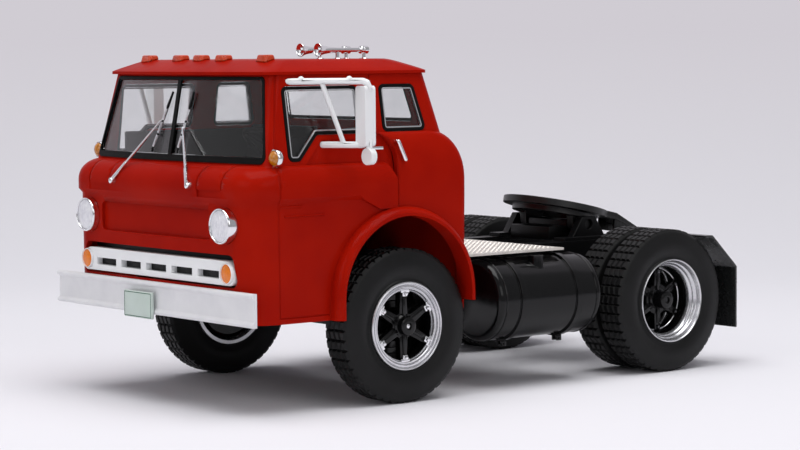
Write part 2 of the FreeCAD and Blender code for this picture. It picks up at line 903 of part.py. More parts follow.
def rear_window_prism(margin):
    middle = (screen_head_x + upper_rear_head_x) / 2
    return prism_along_x(rear_window_outline(margin), cab_rear_x - overrun, middle, window_radius_at(margin))


def side_prism(points, margin):
    """A side window's prism on the left, from the cab's middle outwards."""
    return prism_along_y(grown(points, margin), upper_half_head / 2, cab_half_width + overrun,
                         window_radius_at(margin))


def upper_side_y(x, z):
    """How far out the upper cab's side stands, round its front corner too."""
    share = (z - belt_z) / (eave_z - belt_z)
    half = upper_half_foot + (upper_half_head - upper_half_foot) * share
    front = screen_foot_x + (screen_head_x - screen_foot_x) * share
    past = max(0, x - (front - screen_bow - upper_corner_radius))
    return half - upper_corner_radius + math.sqrt(upper_corner_radius ** 2 - past ** 2)


def screen_x(y, z):
    """How far forward the bowed screen stands."""
    share = (z - belt_z) / (eave_z - belt_z)
    front = screen_foot_x + (screen_head_x - screen_foot_x) * share
    return front - screen_bow * (y / (upper_half_head - upper_corner_radius)) ** 2


def shoulder_roll(angle):
    """The height on the shoulder's roll at one angle, and how much of its depth is gone."""
    bend_z = crease_z + shoulder_straight
    return bend_z + (belt_z - bend_z) * math.sin(angle), 1 - math.cos(angle)


def door_front_seam():
    """The line down the door's front edge and back along its foot to the arch."""
    crease_x = panel_x - door_front_crease_setback
    belt_x = panel_x - door_front_belt_setback
    head_x = panel_x - door_front_head_setback
    points = [(head_x, upper_side_y(head_x, eave_z), eave_z), (belt_x, upper_half_foot, belt_z)]
    for step in range(roll_steps - 1, -1, -1):
        z, gone = shoulder_roll(math.pi / 2 * step / roll_steps)
        x = crease_x + (belt_x - crease_x) * (z - crease_z) / (belt_z - crease_z)
        points.append((x, cab_half_width + shoulder_proud - shoulder_side_roll * gone, z))
    points.append((crease_x, cab_half_width + shoulder_proud, crease_z + shoulder_lip))
    points.append((crease_x, cab_half_width, crease_z))
    foot_x, foot_z = panel_x - door_front_foot_setback, sill_z + door_foot_rise
    foot_y = cab_half_width - sill_tuck * (crease_z - foot_z) / (crease_z - sill_z)
    points.append((foot_x, foot_y, foot_z))
    points.append((front_axle_x + arch_radius + flare_width, foot_y, foot_z))
    return fine_line(points, seam_radius)


def door_rear_seams():
    """The line over the arch behind the door, and the one up its pillar."""
    low_z = arch_z + arch_radius + flare_width
    bend_z = crease_z + quarter_straight
    low = fine_line(((door_rear_x, cab_half_width, low_z), (door_rear_x, cab_half_width, bend_z),
                     (door_rear_x, cab_half_width - seam_radius, crease_z + door_curve_rise)), seam_radius)
    high = fine_line(((door_rear_top_x, upper_side_y(door_rear_top_x, quarter_top_z), quarter_top_z),
                      (door_rear_top_x, upper_side_y(door_rear_top_x, eave_z), eave_z)), seam_radius)
    return [low, high]


def nose_seams():
    """The two lines over each pad, from the nose's face up to the screen."""
    seams = []
    for y in (pad_inner_y, pad_outer_y):
        bow = nose_bow * (y / (cab_half_width - nose_corner_radius)) ** 2
        face_x = panel_x + shoulder_proud - bow
        points = [(face_x, y, crease_z + pad_high_rise)]
        for step in range(roll_steps + 1):
            z, gone = shoulder_roll(math.pi / 2 * step / roll_steps)
            points.append((face_x - shoulder_front_roll * gone, y, z))
        seams.append(fine_line(points, seam_radius))
    return seams


def nose_pad():
    """The shallow step at the foot of those lines."""
    bow = nose_bow * (pad_inner_y / (cab_half_width - nose_corner_radius)) ** 2
    rear = panel_x + shoulder_proud - bow - pad_depth
    return box((rear, pad_inner_y, crease_z + pad_low_rise),
               (panel_x + overrun, pad_outer_y, crease_z + pad_high_rise))


def door_recess():
    """The sunk panel under the door's window, on the left."""
    low_z, high_z = belt_z - recess_depth, door_window_sill_z - recess_margin
    slope = (door_window_nose_x - door_window_bend_x) / (door_window_sill_z - door_window_nose_z)
    head_x = door_window_bend_x - recess_margin
    outline = ((door_window_rear_x, low_z), (head_x + slope * (high_z - low_z), low_z), (head_x, high_z),
               (door_window_rear_x, high_z))
    skin = upper_cab(0).cut(upper_cab(recess_depth))
    return solid(skin.common(prism_along_y(outline, upper_half_head / 2, cab_half_width, recess_depth)))


def door_ridges():
    """Two short raised lines on the door, under the crease."""
    ridges = []
    for (front, rear), drop in zip(ridge_setbacks, ridge_drops):
        z = crease_z - drop
        y = cab_half_width - sill_tuck * drop / (crease_z - sill_z)
        ridges.append(tube(((panel_x - front, y, z), (panel_x - rear, y, z)), ridge_radius))
    return ridges


def nose_openings():
    """The lamp holes, the shallow pocket between the lamps and the grille opening."""
    deep_x = panel_x - nose_corner_radius
    cuts = []
    for side in (-1, 1):
        cuts.append(rod((deep_x, side * lamp_y, lamp_z), (panel_x + overrun, side * lamp_y, lamp_z),
                        bezel_radius + fit_gap))
    grille = ((grille_half_foot, grille_low_z), (grille_half_head, grille_high_z),
              (-grille_half_head, grille_high_z), (-grille_half_foot, grille_low_z))
    cuts.append(prism_along_x(grille, deep_x, panel_x + overrun, grille_radius))
    pocket = ((pocket_half_width, pocket_low_z), (pocket_half_width, pocket_high_z),
              (-pocket_half_width, pocket_high_z), (-pocket_half_width, pocket_low_z))
    cuts.append(prism_along_x(pocket, panel_x - nose_bow - pocket_depth, panel_x + overrun, pocket_radius))
    return cuts


def frame_notch():
    """The cut in the cab's back wall that the frame passes through."""
    half = rail_half_width + frame_notch_gap
    return box((cab_rear_x - overrun, -half, sill_z - overrun),
               (cab_rear_x + cab_wall + overrun, half, rail_high_z + frame_notch_gap))


def cab_shell():
    """The hollow casting with its windows, arches, nose openings and engraved doors."""
    extras = [arch_flare()] + door_ridges()
    outer = cab_form(0).multiFuse(extras + [mirrored(extra) for extra in extras])
    left_cuts = [arch_opening(), side_prism(door_window(), 0), side_prism(quarter_window(), 0),
                 door_front_seam(), door_recess(), nose_pad()] + door_rear_seams() + nose_seams()
    cuts = [cab_form(cab_wall)] + left_cuts + [mirrored(cut) for cut in left_cuts]
    cuts += [screen_prism(0), rear_window_prism(0), frame_notch()] + nose_openings()
    return solid(outer.cut(cuts))


# Windows

def pane(prism):
    """A pane that follows the upper cab's surface inside a window's prism."""
    skin = upper_cab(glass_depth).cut(upper_cab(glass_depth + glass_thickness))
    return solid(skin.common(prism))


def seal(outer_prism, inner_prism):
    """The black strip round a pane, a little proud of the body."""
    skin = upper_cab(-seal_proud).cut(upper_cab(seal_depth))
    return solid(skin.common(outer_prism).cut(inner_prism))


def windscreen_glass():
    return pane(screen_prism(-seal_width - fit_gap, screen_sill_seal))


def windscreen_seal():
    ring = seal(screen_prism(-fit_gap), screen_prism(-seal_width, screen_sill_seal))
    half = divider_width / 2
    bar = upper_cab(-seal_proud).cut(upper_cab(glass_depth - fit_gap)).common(
        box((screen_head_x / 2, -half, screen_sill_z), (panel_x, half, screen_head_z)))
    bar = bar.common(screen_prism(-seal_width / 2))
    return solid(ring.fuse(bar))


def side_glass(points):
    return pair(pane(side_prism(points, -seal_width - fit_gap)))


def side_seal(points):
    return pair(seal(side_prism(points, -fit_gap), side_prism(points, -seal_width)))


def rear_glass():
    return pane(rear_window_prism(-seal_width - fit_gap))


def rear_window_seal():
    return seal(rear_window_prism(-fit_gap), rear_window_prism(-seal_width))


# Nose

def headlamp_bezels():
    """Two bright cups that seat in the nose."""
    rear_x = bezel_front_x - bezel_depth
    cup = rod((rear_x, lamp_y, lamp_z), (bezel_front_x, lamp_y, lamp_z), bezel_radius)
    hollow = rod((rear_x + bezel_wall, lamp_y, lamp_z), (bezel_front_x + overrun, lamp_y, lamp_z),
                 bezel_radius - bezel_wall)
    return pair(solid(cup.cut(hollow)))


def dome_along_x(x, y, z, radius, height, depth):
    """A shallow dome on a disc, facing forward."""
    ball = (radius * radius + height * height) / (2 * height)
    cap = Part.makeSphere(ball, V(x + height - ball, y, z)).common(
        rod((x, y, z), (x + height + overrun, y, z), radius))
    return solid(cap.fuse(rod((x - depth, y, z), (x, y, z), radius)))


def headlamp_lenses():
    lens = dome_along_x(bezel_front_x - bezel_wall, lamp_y, lamp_z, bezel_radius - bezel_wall - fit_gap,
                        lens_dome, bezel_wall)
    return pair(lens)


def grille_bar():
    """The white bar with its row of slots, in the grille opening."""
    middle_z = (bar_low_z + bar_high_z) / 2
    outline = ((bar_half_width, bar_low_z), (bar_half_width, bar_high_z),
               (-bar_half_width, bar_high_z), (-bar_half_width, bar_low_z))
    bar = prism_along_x(outline, bar_front_x - bar_thickness, bar_front_x,
                        (bar_high_z - bar_low_z) * bar_end_share)
    low_z, high_z = middle_z - bar_slot_height / 2, middle_z + bar_slot_height / 2
    slots = []
    for index in range(bar_slots):
        y = (index - (bar_slots - 1) / 2) * bar_slot_pitch
        slots.append(box((bar_front_x - bar_thickness - overrun, y - bar_slot_width / 2, low_z),
                         (bar_front_x + overrun, y + bar_slot_width / 2, high_z)))
    return solid(bar.cut(slots))


def turn_signals():
    middle_z = (bar_low_z + bar_high_z) / 2
    return pair(dome_along_x(bar_front_x + signal_proud / 2, bar_half_width - signal_inset, middle_z,
                             signal_radius, signal_proud / 2, signal_proud / 2))


def bumper():
    """A straight bar, flush with the arches, with a rolled bead along each edge of its sunk face."""
    rear_x = panel_x + fit_gap
    round_x = bumper_front_x - bumper_bead / 2
    face_x = bumper_front_x - bumper_recess
    low, high = bumper_low_z, bumper_high_z
    points = ((rear_x, low), (round_x, low), (bumper_front_x, low + bumper_bead / 2),
              (face_x, low + bumper_bead), (face_x, high - bumper_bead),
              (bumper_front_x, high - bumper_bead / 2), (round_x, high), (rear_x, high))
    return prism_along_y(points, -flare_y, flare_y)


def number_plate():
    """A thick blank plate that stands on the bumper's beads."""
    low_z = bumper_low_z - plate_drop
    low_y, high_y = plate_y - plate_width / 2, plate_y + plate_width / 2
    outline = ((low_y, low_z), (high_y, low_z), (high_y, low_z + plate_height), (low_y, low_z + plate_height))
    rear_x = bumper_front_x + fit_gap
    return prism_along_x(outline, rear_x, rear_x + plate_thickness, plate_radius)


# Cab furniture

def corner_lamps():
    """Round amber lamps at the foot of the screen pillars, each on a short stem."""
    x, y, z = corner_lamp_x, corner_lamp_y, corner_lamp_z
    lens = dome_along_x(x, y, z, corner_lamp_radius, corner_lamp_dome, corner_lamp_length)
    back = Part.makeCone(corner_lamp_back_radius, corner_lamp_radius, corner_lamp_cone,
                         V(x - corner_lamp_length - corner_lamp_cone, y, z), V(1, 0, 0))
    stem_x = x - corner_lamp_length / 2
    stem = rod((stem_x, upper_half_foot - fit_gap, belt_z - corner_lamp_radius), (stem_x, y, z),
               corner_lamp_foot_radius)
    return pair(solid(lens.multiFuse([back, stem]).cut([shoulder(0), upper_cab(0)])))


def roof_markers():
    """Five low lamps along the roof's front edge, which follow its bow."""
    foot_z = roof_top_z - marker_foot
    top_z = roof_top_z + marker_height
    lamps = []
    for y in (-marker_outer_y, -marker_pitch, 0, marker_pitch, marker_outer_y):
        x = marker_x - screen_bow * (y / upper_half_head) ** 2
        wires = []
        for z, shrink in ((foot_z, 0), (top_z, marker_taper)):
            half_x, half_y = marker_length / 2 - shrink, marker_width / 2 - shrink
            wires.append(closed_wire(((x - half_x, y - half_y, z), (x + half_x, y - half_y, z),
                                      (x + half_x, y + half_y, z), (x - half_x, y + half_y, z)),
                                     marker_taper))
        lamps.append(solid(Part.makeLoft(wires, True, True).cut(roof(0))))
    return Part.makeCompound(lamps)


def air_horns():
    """Two trumpets on one pair of posts."""
    pieces = []
    rear_x = horn_bell_x - horn_length
    for y in horn_ys:
        neck_x = horn_bell_x - horn_bell_length
        profile = [V(rear_x, y, horn_z), V(rear_x, y, horn_z + horn_driver_radius),
                   V(rear_x + horn_driver_length, y, horn_z + horn_driver_radius),
                   V(rear_x + horn_driver_length, y, horn_z + horn_tube_radius),
                   V(neck_x, y, horn_z + horn_tube_radius),
                   V(horn_bell_x - horn_wall * 2, y, horn_z + (horn_tube_radius + horn_bell_radius) / 2),
                   V(horn_bell_x, y, horn_z + horn_bell_radius), V(horn_bell_x, y, horn_z)]
        trumpet = Part.Face(Part.makePolygon(profile + [profile[0]])).revolve(
            V(0, y, horn_z), V(1, 0, 0), 360)
        mouth = Part.makeCone(0, horn_bell_radius - horn_wall, horn_bell_length / 2,
                              V(horn_bell_x - horn_bell_length / 2, y, horn_z), V(1, 0, 0))
        pieces.append(trumpet.cut(mouth))
        for x in (rear_x + horn_driver_length / 2, neck_x - horn_post):
            pieces.append(rod((x, y, roof_top_z), (x, y, horn_z), horn_post / 2))
    low_y, high_y = horn_ys
    tie_x = rear_x + horn_driver_length / 2
    pieces.append(rod((tie_x, low_y, horn_z), (tie_x, high_y, horn_z), horn_tube_radius))
    return solid(pieces[0].multiFuse(pieces[1:]))


def flat_bar(start, end, width, thickness):
    """A thin bar between two points, its width across the truck."""
    start, end = V(*start), V(*end)
    along = (end - start).normalize()
    across = V(0, 1, 0) - along * along.y
    across.normalize()
    normal = along.cross(across)
    corners = []
    for a, b in ((-1, -1), (1, -1), (1, 1), (-1, 1)):
        corners.append(start + across * (a * width / 2) + normal * (b * thickness / 2))
    return Part.Face(Part.makePolygon(corners + [corners[0]])).extrude(end - start)


def wipers():
    """Two parked wipers of flat metal: boss, arm and a blade that follows the screen."""
    boss_x = panel_x + shoulder_proud + wiper_pivot_proud
    boss_z = crease_z + wiper_pivot_rise
    lift = wiper_lift + wiper_thickness / 2 - glass_depth
    body = [shoulder(0), upper_cab(glass_depth)]
    blades = []
    for side, low_y, high_y, share in zip((-1, 1), wiper_blade_low_ys, wiper_blade_high_ys, wiper_arm_shares):
        low = V(screen_x(low_y, wiper_blade_low_z) + lift, low_y, wiper_blade_low_z)
        high = V(screen_x(high_y, wiper_blade_high_z) + lift, high_y, wiper_blade_high_z)
        meet = low + (high - low) * share + V(wiper_thickness, 0, 0)
        pivot = (boss_x - wiper_thickness, side * wiper_pivot_y, boss_z)
        boss = rod((panel_x - nose_bow, side * wiper_pivot_y, boss_z), (boss_x, side * wiper_pivot_y, boss_z),
                   wiper_boss_radius)
        arm = flat_bar(pivot, tuple(meet), wiper_arm_width, wiper_thickness)
        clip = rod(tuple(meet), tuple(meet - V(wiper_thickness, 0, 0)), wiper_blade_width / 2)
        strip = flat_bar(tuple(low), tuple(high), wiper_blade_width, wiper_thickness)
        blades.append(solid(boss.multiFuse([arm, clip, strip]).cut(body)))
    return Part.makeCompound(blades)


def door_handles():
    y = upper_side_y(handle_x, handle_z) + handle_stand
    stem_x = handle_x + handle_length - handle_radius
    bar = rod((handle_x, y, handle_z), (handle_x + handle_length, y, handle_z), handle_radius)
    stem = rod((stem_x, upper_half_head, handle_z), (stem_x, y, handle_z), handle_stem_radius)
    return pair(solid(bar.fuse(stem).cut(upper_cab(0))))


def grab_handles():
    """Bright grips behind the doors, each on two feet."""
    y = cab_half_width + grab_stand
    inner_y = cab_half_width - quarter_side_roll
    top, low = (grab_top_x, y - grab_stand / 2, grab_high_z), (grab_low_x, y, grab_low_z)
    path = ((top[0], inner_y, top[2]), top, low, (low[0], inner_y, low[2]))
    return pair(solid(tube(path, grab_radius).cut(quarter(0))))


def mirror():
    """The left mirror: a bent arm above, a straight one below, a brace, a deep head and a round glass."""
    top_foot = V(mirror_top_foot_x, upper_side_y(mirror_top_foot_x, mirror_top_z) - mirror_foot_sink,
                 mirror_top_z)
    low_foot = V(mirror_low_foot_x, upper_side_y(mirror_low_foot_x, mirror_low_z) - mirror_foot_sink,
                 mirror_low_z)
    elbow = V(mirror_x, mirror_outer_y, mirror_top_z)
    low_end = V(mirror_x, mirror_y, mirror_low_z)
    along = (elbow - top_foot).normalize()
    down = V(0, 0, -1)
    bend = [elbow - along * mirror_bend, elbow + (down - along) * (mirror_bend * (1 - math.sqrt(0.5))),
            elbow + down * mirror_bend]
    path = [top_foot] + bend + [V(mirror_x, mirror_outer_y, mirror_head_high_z - mirror_bend)]
    brace = (top_foot + (elbow - top_foot) * mirror_brace_top_share,
             low_foot + (low_end - low_foot) * mirror_brace_low_share)
    parts = [rod(tuple(low_foot), tuple(low_end), mirror_tube_radius),
             rod(tuple(brace[0]), tuple(brace[1]), mirror_brace_radius)]
    for share in mirror_clamp_shares:
        clamp = top_foot + (elbow - top_foot) * share + V(0, 0, mirror_clamp_rise)
        parts.append(Part.makeSphere(mirror_clamp_radius, clamp))
    parts += mirror_heads()
    frame = tube([tuple(point) for point in path], mirror_tube_radius).multiFuse(parts)
    return solid(frame.cut([upper_cab(0).cut(door_recess()), roof(0)]))


def mirror_heads():
    """The tall head with its rounded edges, and the small round one that hangs below it."""
    half_width, half_depth = mirror_head_width / 2, mirror_head_depth / 2
    low_y, high_y = mirror_y - half_width, mirror_y + half_width
    outline = ((low_y, mirror_head_low_z), (high_y, mirror_head_low_z),
               (high_y, mirror_head_high_z), (low_y, mirror_head_high_z))
    head = prism_along_x(outline, mirror_x - half_depth, mirror_x + half_depth, mirror_head_radius)
    round_z = mirror_head_low_z - mirror_round_drop
    half_round = mirror_round_thickness / 2
    disc = rod((mirror_x - half_round, mirror_outer_y, round_z),
               (mirror_x + half_round, mirror_outer_y, round_z), mirror_round_radius)
    hanger = rod((mirror_x, mirror_outer_y, round_z), (mirror_x, mirror_outer_y, mirror_low_z + mirror_bend),
                 mirror_tube_radius)
    return [head, disc, hanger]


def seat_block(side, top):
    """One seat: its cushion and a leaning back."""
    low_y = side * seat_y - seat_width / 2
    foot_z = top - floor_thickness / 2
    profile = ((seat_rear_x, foot_z), (seat_front_x, foot_z), (seat_front_x, seat_top_z),
               (seat_rear_x + seat_back_thickness + seat_back_lean, seat_top_z),
               (seat_rear_x + seat_back_thickness, seat_back_z), (seat_rear_x, seat_back_z))
    return prism_along_y(profile, low_y, low_y + seat_width)


# Interior

def cab_interior():
    """One dark moulding: floor, dashboard, two seats, door trims and a back panel."""
    half = cab_half_width - cab_wall - interior_gap
    rear = cab_rear_x + cab_wall + interior_gap
    top = floor_z + floor_thickness
    base = box((rear, -half, floor_z), (interior_front_x, half, top))
    dash_half = upper_half_foot - cab_wall - interior_gap
    profile = ((dash_rear_x, top), (interior_front_x, top), (interior_front_x, dash_top_z - dash_round),
               (dash_rear_x + dash_face_drop, dash_top_z), (dash_rear_x, dash_top_z - dash_face_drop))
    dash = prism_along_y(profile, -dash_half, dash_half)
    trim_y = upper_side_y(seat_front_x, trim_high_z) - cab_wall - interior_gap
    panel_rear_x = upper_rear_head_x
    trim = box((panel_rear_x, trim_y - trim_thickness, top), (trim_front_x, trim_y, trim_high_z))
    panel = box((panel_rear_x, -trim_y, top), (panel_rear_x + trim_thickness, trim_y, trim_high_z))
    pieces = [dash, seat_block(-1, top), seat_block(1, top), trim, mirrored(trim), panel]
    return solid(base.multiFuse(pieces))


def steering_wheel():
    """A thin wheel on its column, which rises from the dashboard."""
    rim = Part.makeTorus(steering_radius, steering_rim)
    hub = Part.makeCylinder(steering_hub, steering_hub, V(0, 0, -steering_hub / 2))
    parts = [hub]
    for index in range(steering_spokes):
        angle = math.pi / 2 + index * 2 * math.pi / steering_spokes
        tip = (steering_radius * math.cos(angle), steering_radius * math.sin(angle), 0)
        parts.append(rod((0, 0, 0), tip, steering_spoke_radius))
    reach = steering_setback / math.sin(math.radians(steering_tilt))
    parts.append(Part.makeCylinder(column_radius, reach, V(0, 0, 0), V(0, 0, -1)))
    wheel = rim.multiFuse(parts)
    wheel.rotate(V(0, 0, 0), V(0, 1, 0), -steering_tilt)
    wheel.translate(V(steering_x, steering_y, steering_z))
    return solid(wheel.cut(cab_interior()))


def cross_places():
    """Where the cross members stand along the frame."""
    span = cross_rear_x - cross_cab_x
    return [cross_front_x, cross_cab_x] + [cross_cab_x + span * share for share in cross_middle_shares] \
        + [cross_rear_x]


# Chassis

def rail(y_out):
    """One channel rail, open towards the middle."""
    inner = y_out - rail_flange
    web = box((rail_rear_x, y_out - rail_web, rail_low_z), (rail_front_x, y_out, rail_high_z))
    top = box((rail_rear_x, inner, rail_high_z - rail_flange_thickness), (rail_front_x, y_out, rail_high_z))
    low = box((rail_rear_x, inner, rail_low_z), (rail_front_x, y_out, rail_low_z + rail_flange_thickness))
    return web.multiFuse([top, low])


def chassis_frame():
    """Two channel rails, their cross members and the bosses for the plinth screws."""
    left = rail(rail_half_width)
    parts = [mirrored(left)]
    inner = rail_half_width - rail_web
    middle_z = (rail_low_z + rail_high_z) / 2
    for x in cross_places():
        parts.append(box((x - cross_width / 2, -inner, rail_low_z + rail_flange_thickness / 2),
                         (x + cross_width / 2, inner, middle_z)))
    boss_z = rail_low_z - plinth_boss_drop
    holes = []
    for x in (cross_front_x, cross_rear_x):
        parts.append(rod((x, 0, boss_z), (x, 0, middle_z), plinth_boss_radius))
        holes.append(rod((x, 0, boss_z - overrun), (x, 0, boss_z + plinth_hole_depth), plinth_hole_radius))
    return solid(left.multiFuse(parts).cut(holes))


def engine_block():
    return box((engine_rear_x, -engine_half_width, engine_low_z),
               (engine_front_x, engine_half_width, engine_high_z))


def axle_pin(x, reach):
    return rod((x, -reach, tyre_radius), (x, reach, tyre_radius), pin_radius)


def front_axle_beam():
    x, z = front_axle_x, tyre_radius
    reach = front_axle_half_length
    beam = box((x - axle_half, -reach, z - axle_half), (x + axle_half, reach, z + axle_half))
    bore = rod((x, -knuckle_reach - overrun, z), (x, knuckle_reach + overrun, z), pin_radius + fit_gap)
    ends = [rod((x, side * (reach - axle_half), z), (x, side * knuckle_reach, z), knuckle_radius)
            for side in (-1, 1)]
    return solid(beam.multiFuse(ends).cut(bore))


def rear_axle_housing():
    x, z = rear_axle_x, tyre_radius
    reach = rear_axle_half_length
    tube_part = rod((x, -reach, z), (x, reach, z), rear_axle_radius)
    bowl = rod((x, -differential_length / 2, z), (x, differential_length / 2, z), differential_radius)
    nose = Part.makeCone(differential_nose_radius, differential_nose_end_radius, differential_nose_length,
                         V(x, 0, z), V(1, 0, 0))
    bore = rod((x, -reach - overrun, z), (x, reach + overrun, z), pin_radius + fit_gap)
    return solid(tube_part.multiFuse([bowl, nose]).cut(bore))


def leaf_pack(axle_x, seat_z):
    """A stack of leaves that shortens downwards, hung from the rail at both ends."""
    half = spring_span / 2
    camber = rail_low_z - spring_hanger_gap - seat_z - spring_leaf * spring_leaves
    parts = []
    for index in range(spring_leaves):
        reach = half - index * spring_leaf_step
        high = seat_z + spring_leaf * (spring_leaves - index)
        rise = camber * (reach / half) ** 2
        low = high - spring_leaf
        ends = [V(axle_x - reach, 0, high + rise), V(axle_x + reach, 0, high + rise),
                V(axle_x + reach, 0, low + rise), V(axle_x - reach, 0, low + rise)]
        outer = Part.Arc(ends[0], V(axle_x, 0, high), ends[1]).toShape()
        inner = Part.Arc(ends[2], V(axle_x, 0, low), ends[3]).toShape()
        wire = Part.Wire([outer, Part.makeLine(ends[1], ends[2]), inner, Part.makeLine(ends[3], ends[0])])
        parts.append(Part.Face(wire).extrude(V(0, spring_width, 0)))
    low_z = rail_low_z - spring_hanger_gap - spring_leaf
    for end in (-1, 1):
        x = axle_x + end * (half - spring_eye_radius)
        parts.append(box((x - spring_eye_radius, 0, low_z),
                         (x + spring_eye_radius, spring_width, rail_low_z)))
    pack = parts[0].multiFuse(parts[1:])
    pack.translate(V(0, spring_y - spring_width / 2, 0))
    return solid(pack)


def springs():
    packs = []
    seats = ((front_axle_x, tyre_radius + axle_half), (rear_axle_x, tyre_radius + rear_axle_radius))
    for x, seat_z in seats:
        pack = leaf_pack(x, seat_z)
        packs += [pack, mirrored(pack)]
    return Part.makeCompound(packs)


def propshaft():
    """The shaft from the engine to the rear axle, with a level yoke at each end."""
    front = V(engine_rear_x, 0, shaft_front_z)
    rear = V(rear_axle_x + differential_nose_length, 0, tyre_radius)
    step = V(shaft_yoke_length, 0, 0)
    yokes = [rod(tuple(front - step), tuple(front), shaft_yoke_radius),
             rod(tuple(rear), tuple(rear + step), shaft_yoke_radius)]
    half = step * 0.5
    return solid(rod(tuple(front - half), tuple(rear + half), shaft_radius).multiFuse(yokes))


def along_tank(share):
    return tank_front_x + (tank_rear_x - tank_front_x) * share


# Tanks and catwalk

def fuel_tank():
    """A round tank with rounded ends, a filler, and two moulded straps with arms to the frame."""
    tank = rod((tank_rear_x, tank_y, tank_z), (tank_front_x, tank_y, tank_z), tank_radius)
    rims = [edge for edge in tank.Edges if len(edge.Vertexes) == 1]
    tank = tank.makeFillet(tank_end_round, rims)
    cap_x, cap_y = along_tank(cap_share), tank_y + tank_radius / 2
    parts = [rod((cap_x, cap_y, tank_z), (cap_x, cap_y, tank_z + tank_radius + cap_height / 2), cap_radius)]
    for share in strap_shares:
        low, high = along_tank(share) - strap_width / 2, along_tank(share) + strap_width / 2
        parts.append(rod((low, tank_y, tank_z), (high, tank_y, tank_z), tank_radius + strap_thickness))
        parts.append(box((low, rail_half_width, rail_low_z),
                         (high, tank_y - tank_radius / 2, rail_low_z + tank_bracket_height)))
    return solid(tank.multiFuse(parts))


def catwalk_plate():
    low_z = rail_high_z
    return box((catwalk_rear_x, -catwalk_half_width, low_z),
               (catwalk_front_x, catwalk_half_width, low_z + catwalk_thickness))


# Fifth wheel

def tipped(shape):
    """Put a piece drawn level about the pivot into its resting place, tail down."""
    shape = shape.copy()
    shape.rotate(V(0, 0, 0), V(0, 1, 0), -fifth_tilt)
    shape.translate(V(pivot_x, 0, pivot_z))
    return shape


def fifth_wheel_plate():
    """The coupling plate: round top, skirt, rear ramps, snap-in jaw, saddles and trunnions."""
    low = fifth_height - fifth_thickness
    disc = Part.makeCylinder(fifth_radius, fifth_thickness, V(0, 0, low))
    skirt_r = fifth_radius - fifth_skirt_inset
    skirt = Part.makeCylinder(skirt_r, fifth_skirt, V(0, 0, low - fifth_skirt))
    skirt = skirt.cut(Part.makeCylinder(skirt_r - fifth_skirt_wall, fifth_skirt, V(0, 0, low - fifth_skirt)))
    start_x, bend_x = -fifth_radius * ramp_root_share, -fifth_radius * ramp_start_share
    ramp_z = fifth_height - ramp_drop
    ramp = ((start_x, low), (start_x, fifth_height), (bend_x, fifth_height),
            (-ramp_reach, ramp_z - fifth_thickness / 2), (-ramp_reach, ramp_z - fifth_thickness),
            (bend_x, low))
    saddle_z = low + fifth_thickness / 2
    saddle = ((-saddle_half_length, saddle_z), (saddle_half_length, saddle_z),
              (saddle_half_foot, -saddle_drop), (-saddle_half_foot, -saddle_drop))
    left = [prism_along_y(ramp, ramp_inner_y, ramp_outer_y),
            prism_along_y(saddle, saddle_y - saddle_width / 2, saddle_y + saddle_width / 2),
            rod((0, saddle_y, 0), (0, saddle_y + trunnion_length, 0), trunnion_radius)]
    plate = disc.multiFuse([skirt] + left + [mirrored(part) for part in left])
    mouth_x = -fifth_radius - overrun
    throat = prism_along_z(((0, -jaw_neck / 2), (0, jaw_neck / 2), (-jaw_neck_length, jaw_neck / 2),
                            (mouth_x, throat_mouth / 2), (mouth_x, -throat_mouth / 2),
                            (-jaw_neck_length, -jaw_neck / 2)),
                           low - fifth_skirt - overrun, fifth_height + overrun)
    jaw = Part.makeCylinder(jaw_radius, fifth_height + overrun, V(0, 0, 0))
    return tipped(solid(plate.cut([throat, jaw])))


def fifth_wheel_pedestals():
    """Two pedestals on foot plates, each with a bore for a trunnion."""
    inner = pedestal_y - pedestal_width / 2
    outer = pedestal_y + pedestal_width / 2
    foot_z = rail_high_z
    head_z = pivot_z + trunnion_radius + pedestal_head_wall
    outline = ((pivot_x - pedestal_half_foot, foot_z), (pivot_x + pedestal_half_foot, foot_z),
               (pivot_x + pedestal_half_head, head_z), (pivot_x - pedestal_half_head, head_z))
    stand = prism_along_y(outline, inner, outer)
    foot = box((pivot_x - pedestal_plate_half_length, rail_half_width - rail_flange, foot_z),
               (pivot_x + pedestal_plate_half_length, rail_half_width, foot_z + pedestal_plate_thickness))
    bore = rod((pivot_x, inner - overrun, pivot_z), (pivot_x, outer + overrun, pivot_z),
               trunnion_radius + running_gap)
    return pair(solid(stand.fuse(foot).cut(bore)))


# Rear end

def mudflap():
    """The left flap with its hanger, bent from one strip, on an arm from the frame."""
    t = flap_thickness
    top = flap_hanger_z
    outline = ((flap_hanger_x, top), (flap_bend_x, top), (flap_x, flap_bend_z), (flap_x, flap_low_z),
               (flap_x - t, flap_low_z), (flap_x - t, flap_bend_z + t / 2), (flap_bend_x - t / 2, top + t),
               (flap_hanger_x, top + t))
    sheet = prism_along_y(outline, flap_inner_y, flap_outer_y)
    arm = box((flap_bend_x, rail_half_width - rail_flange, rail_high_z),
              (flap_hanger_x, flap_inner_y, rail_high_z + t))
    riser = box((flap_bend_x, flap_inner_y - t, rail_high_z), (flap_hanger_x, flap_inner_y + t, top + t))
    return solid(sheet.multiFuse([arm, riser]))


def tail_lamps():
    z = (rail_low_z + rail_high_z) / 2
    y = rail_half_width - rail_flange / 2
    return pair(rod((rail_rear_x - tail_lamp_depth, y, z), (rail_rear_x, y, z), tail_lamp_radius))


# Wheels

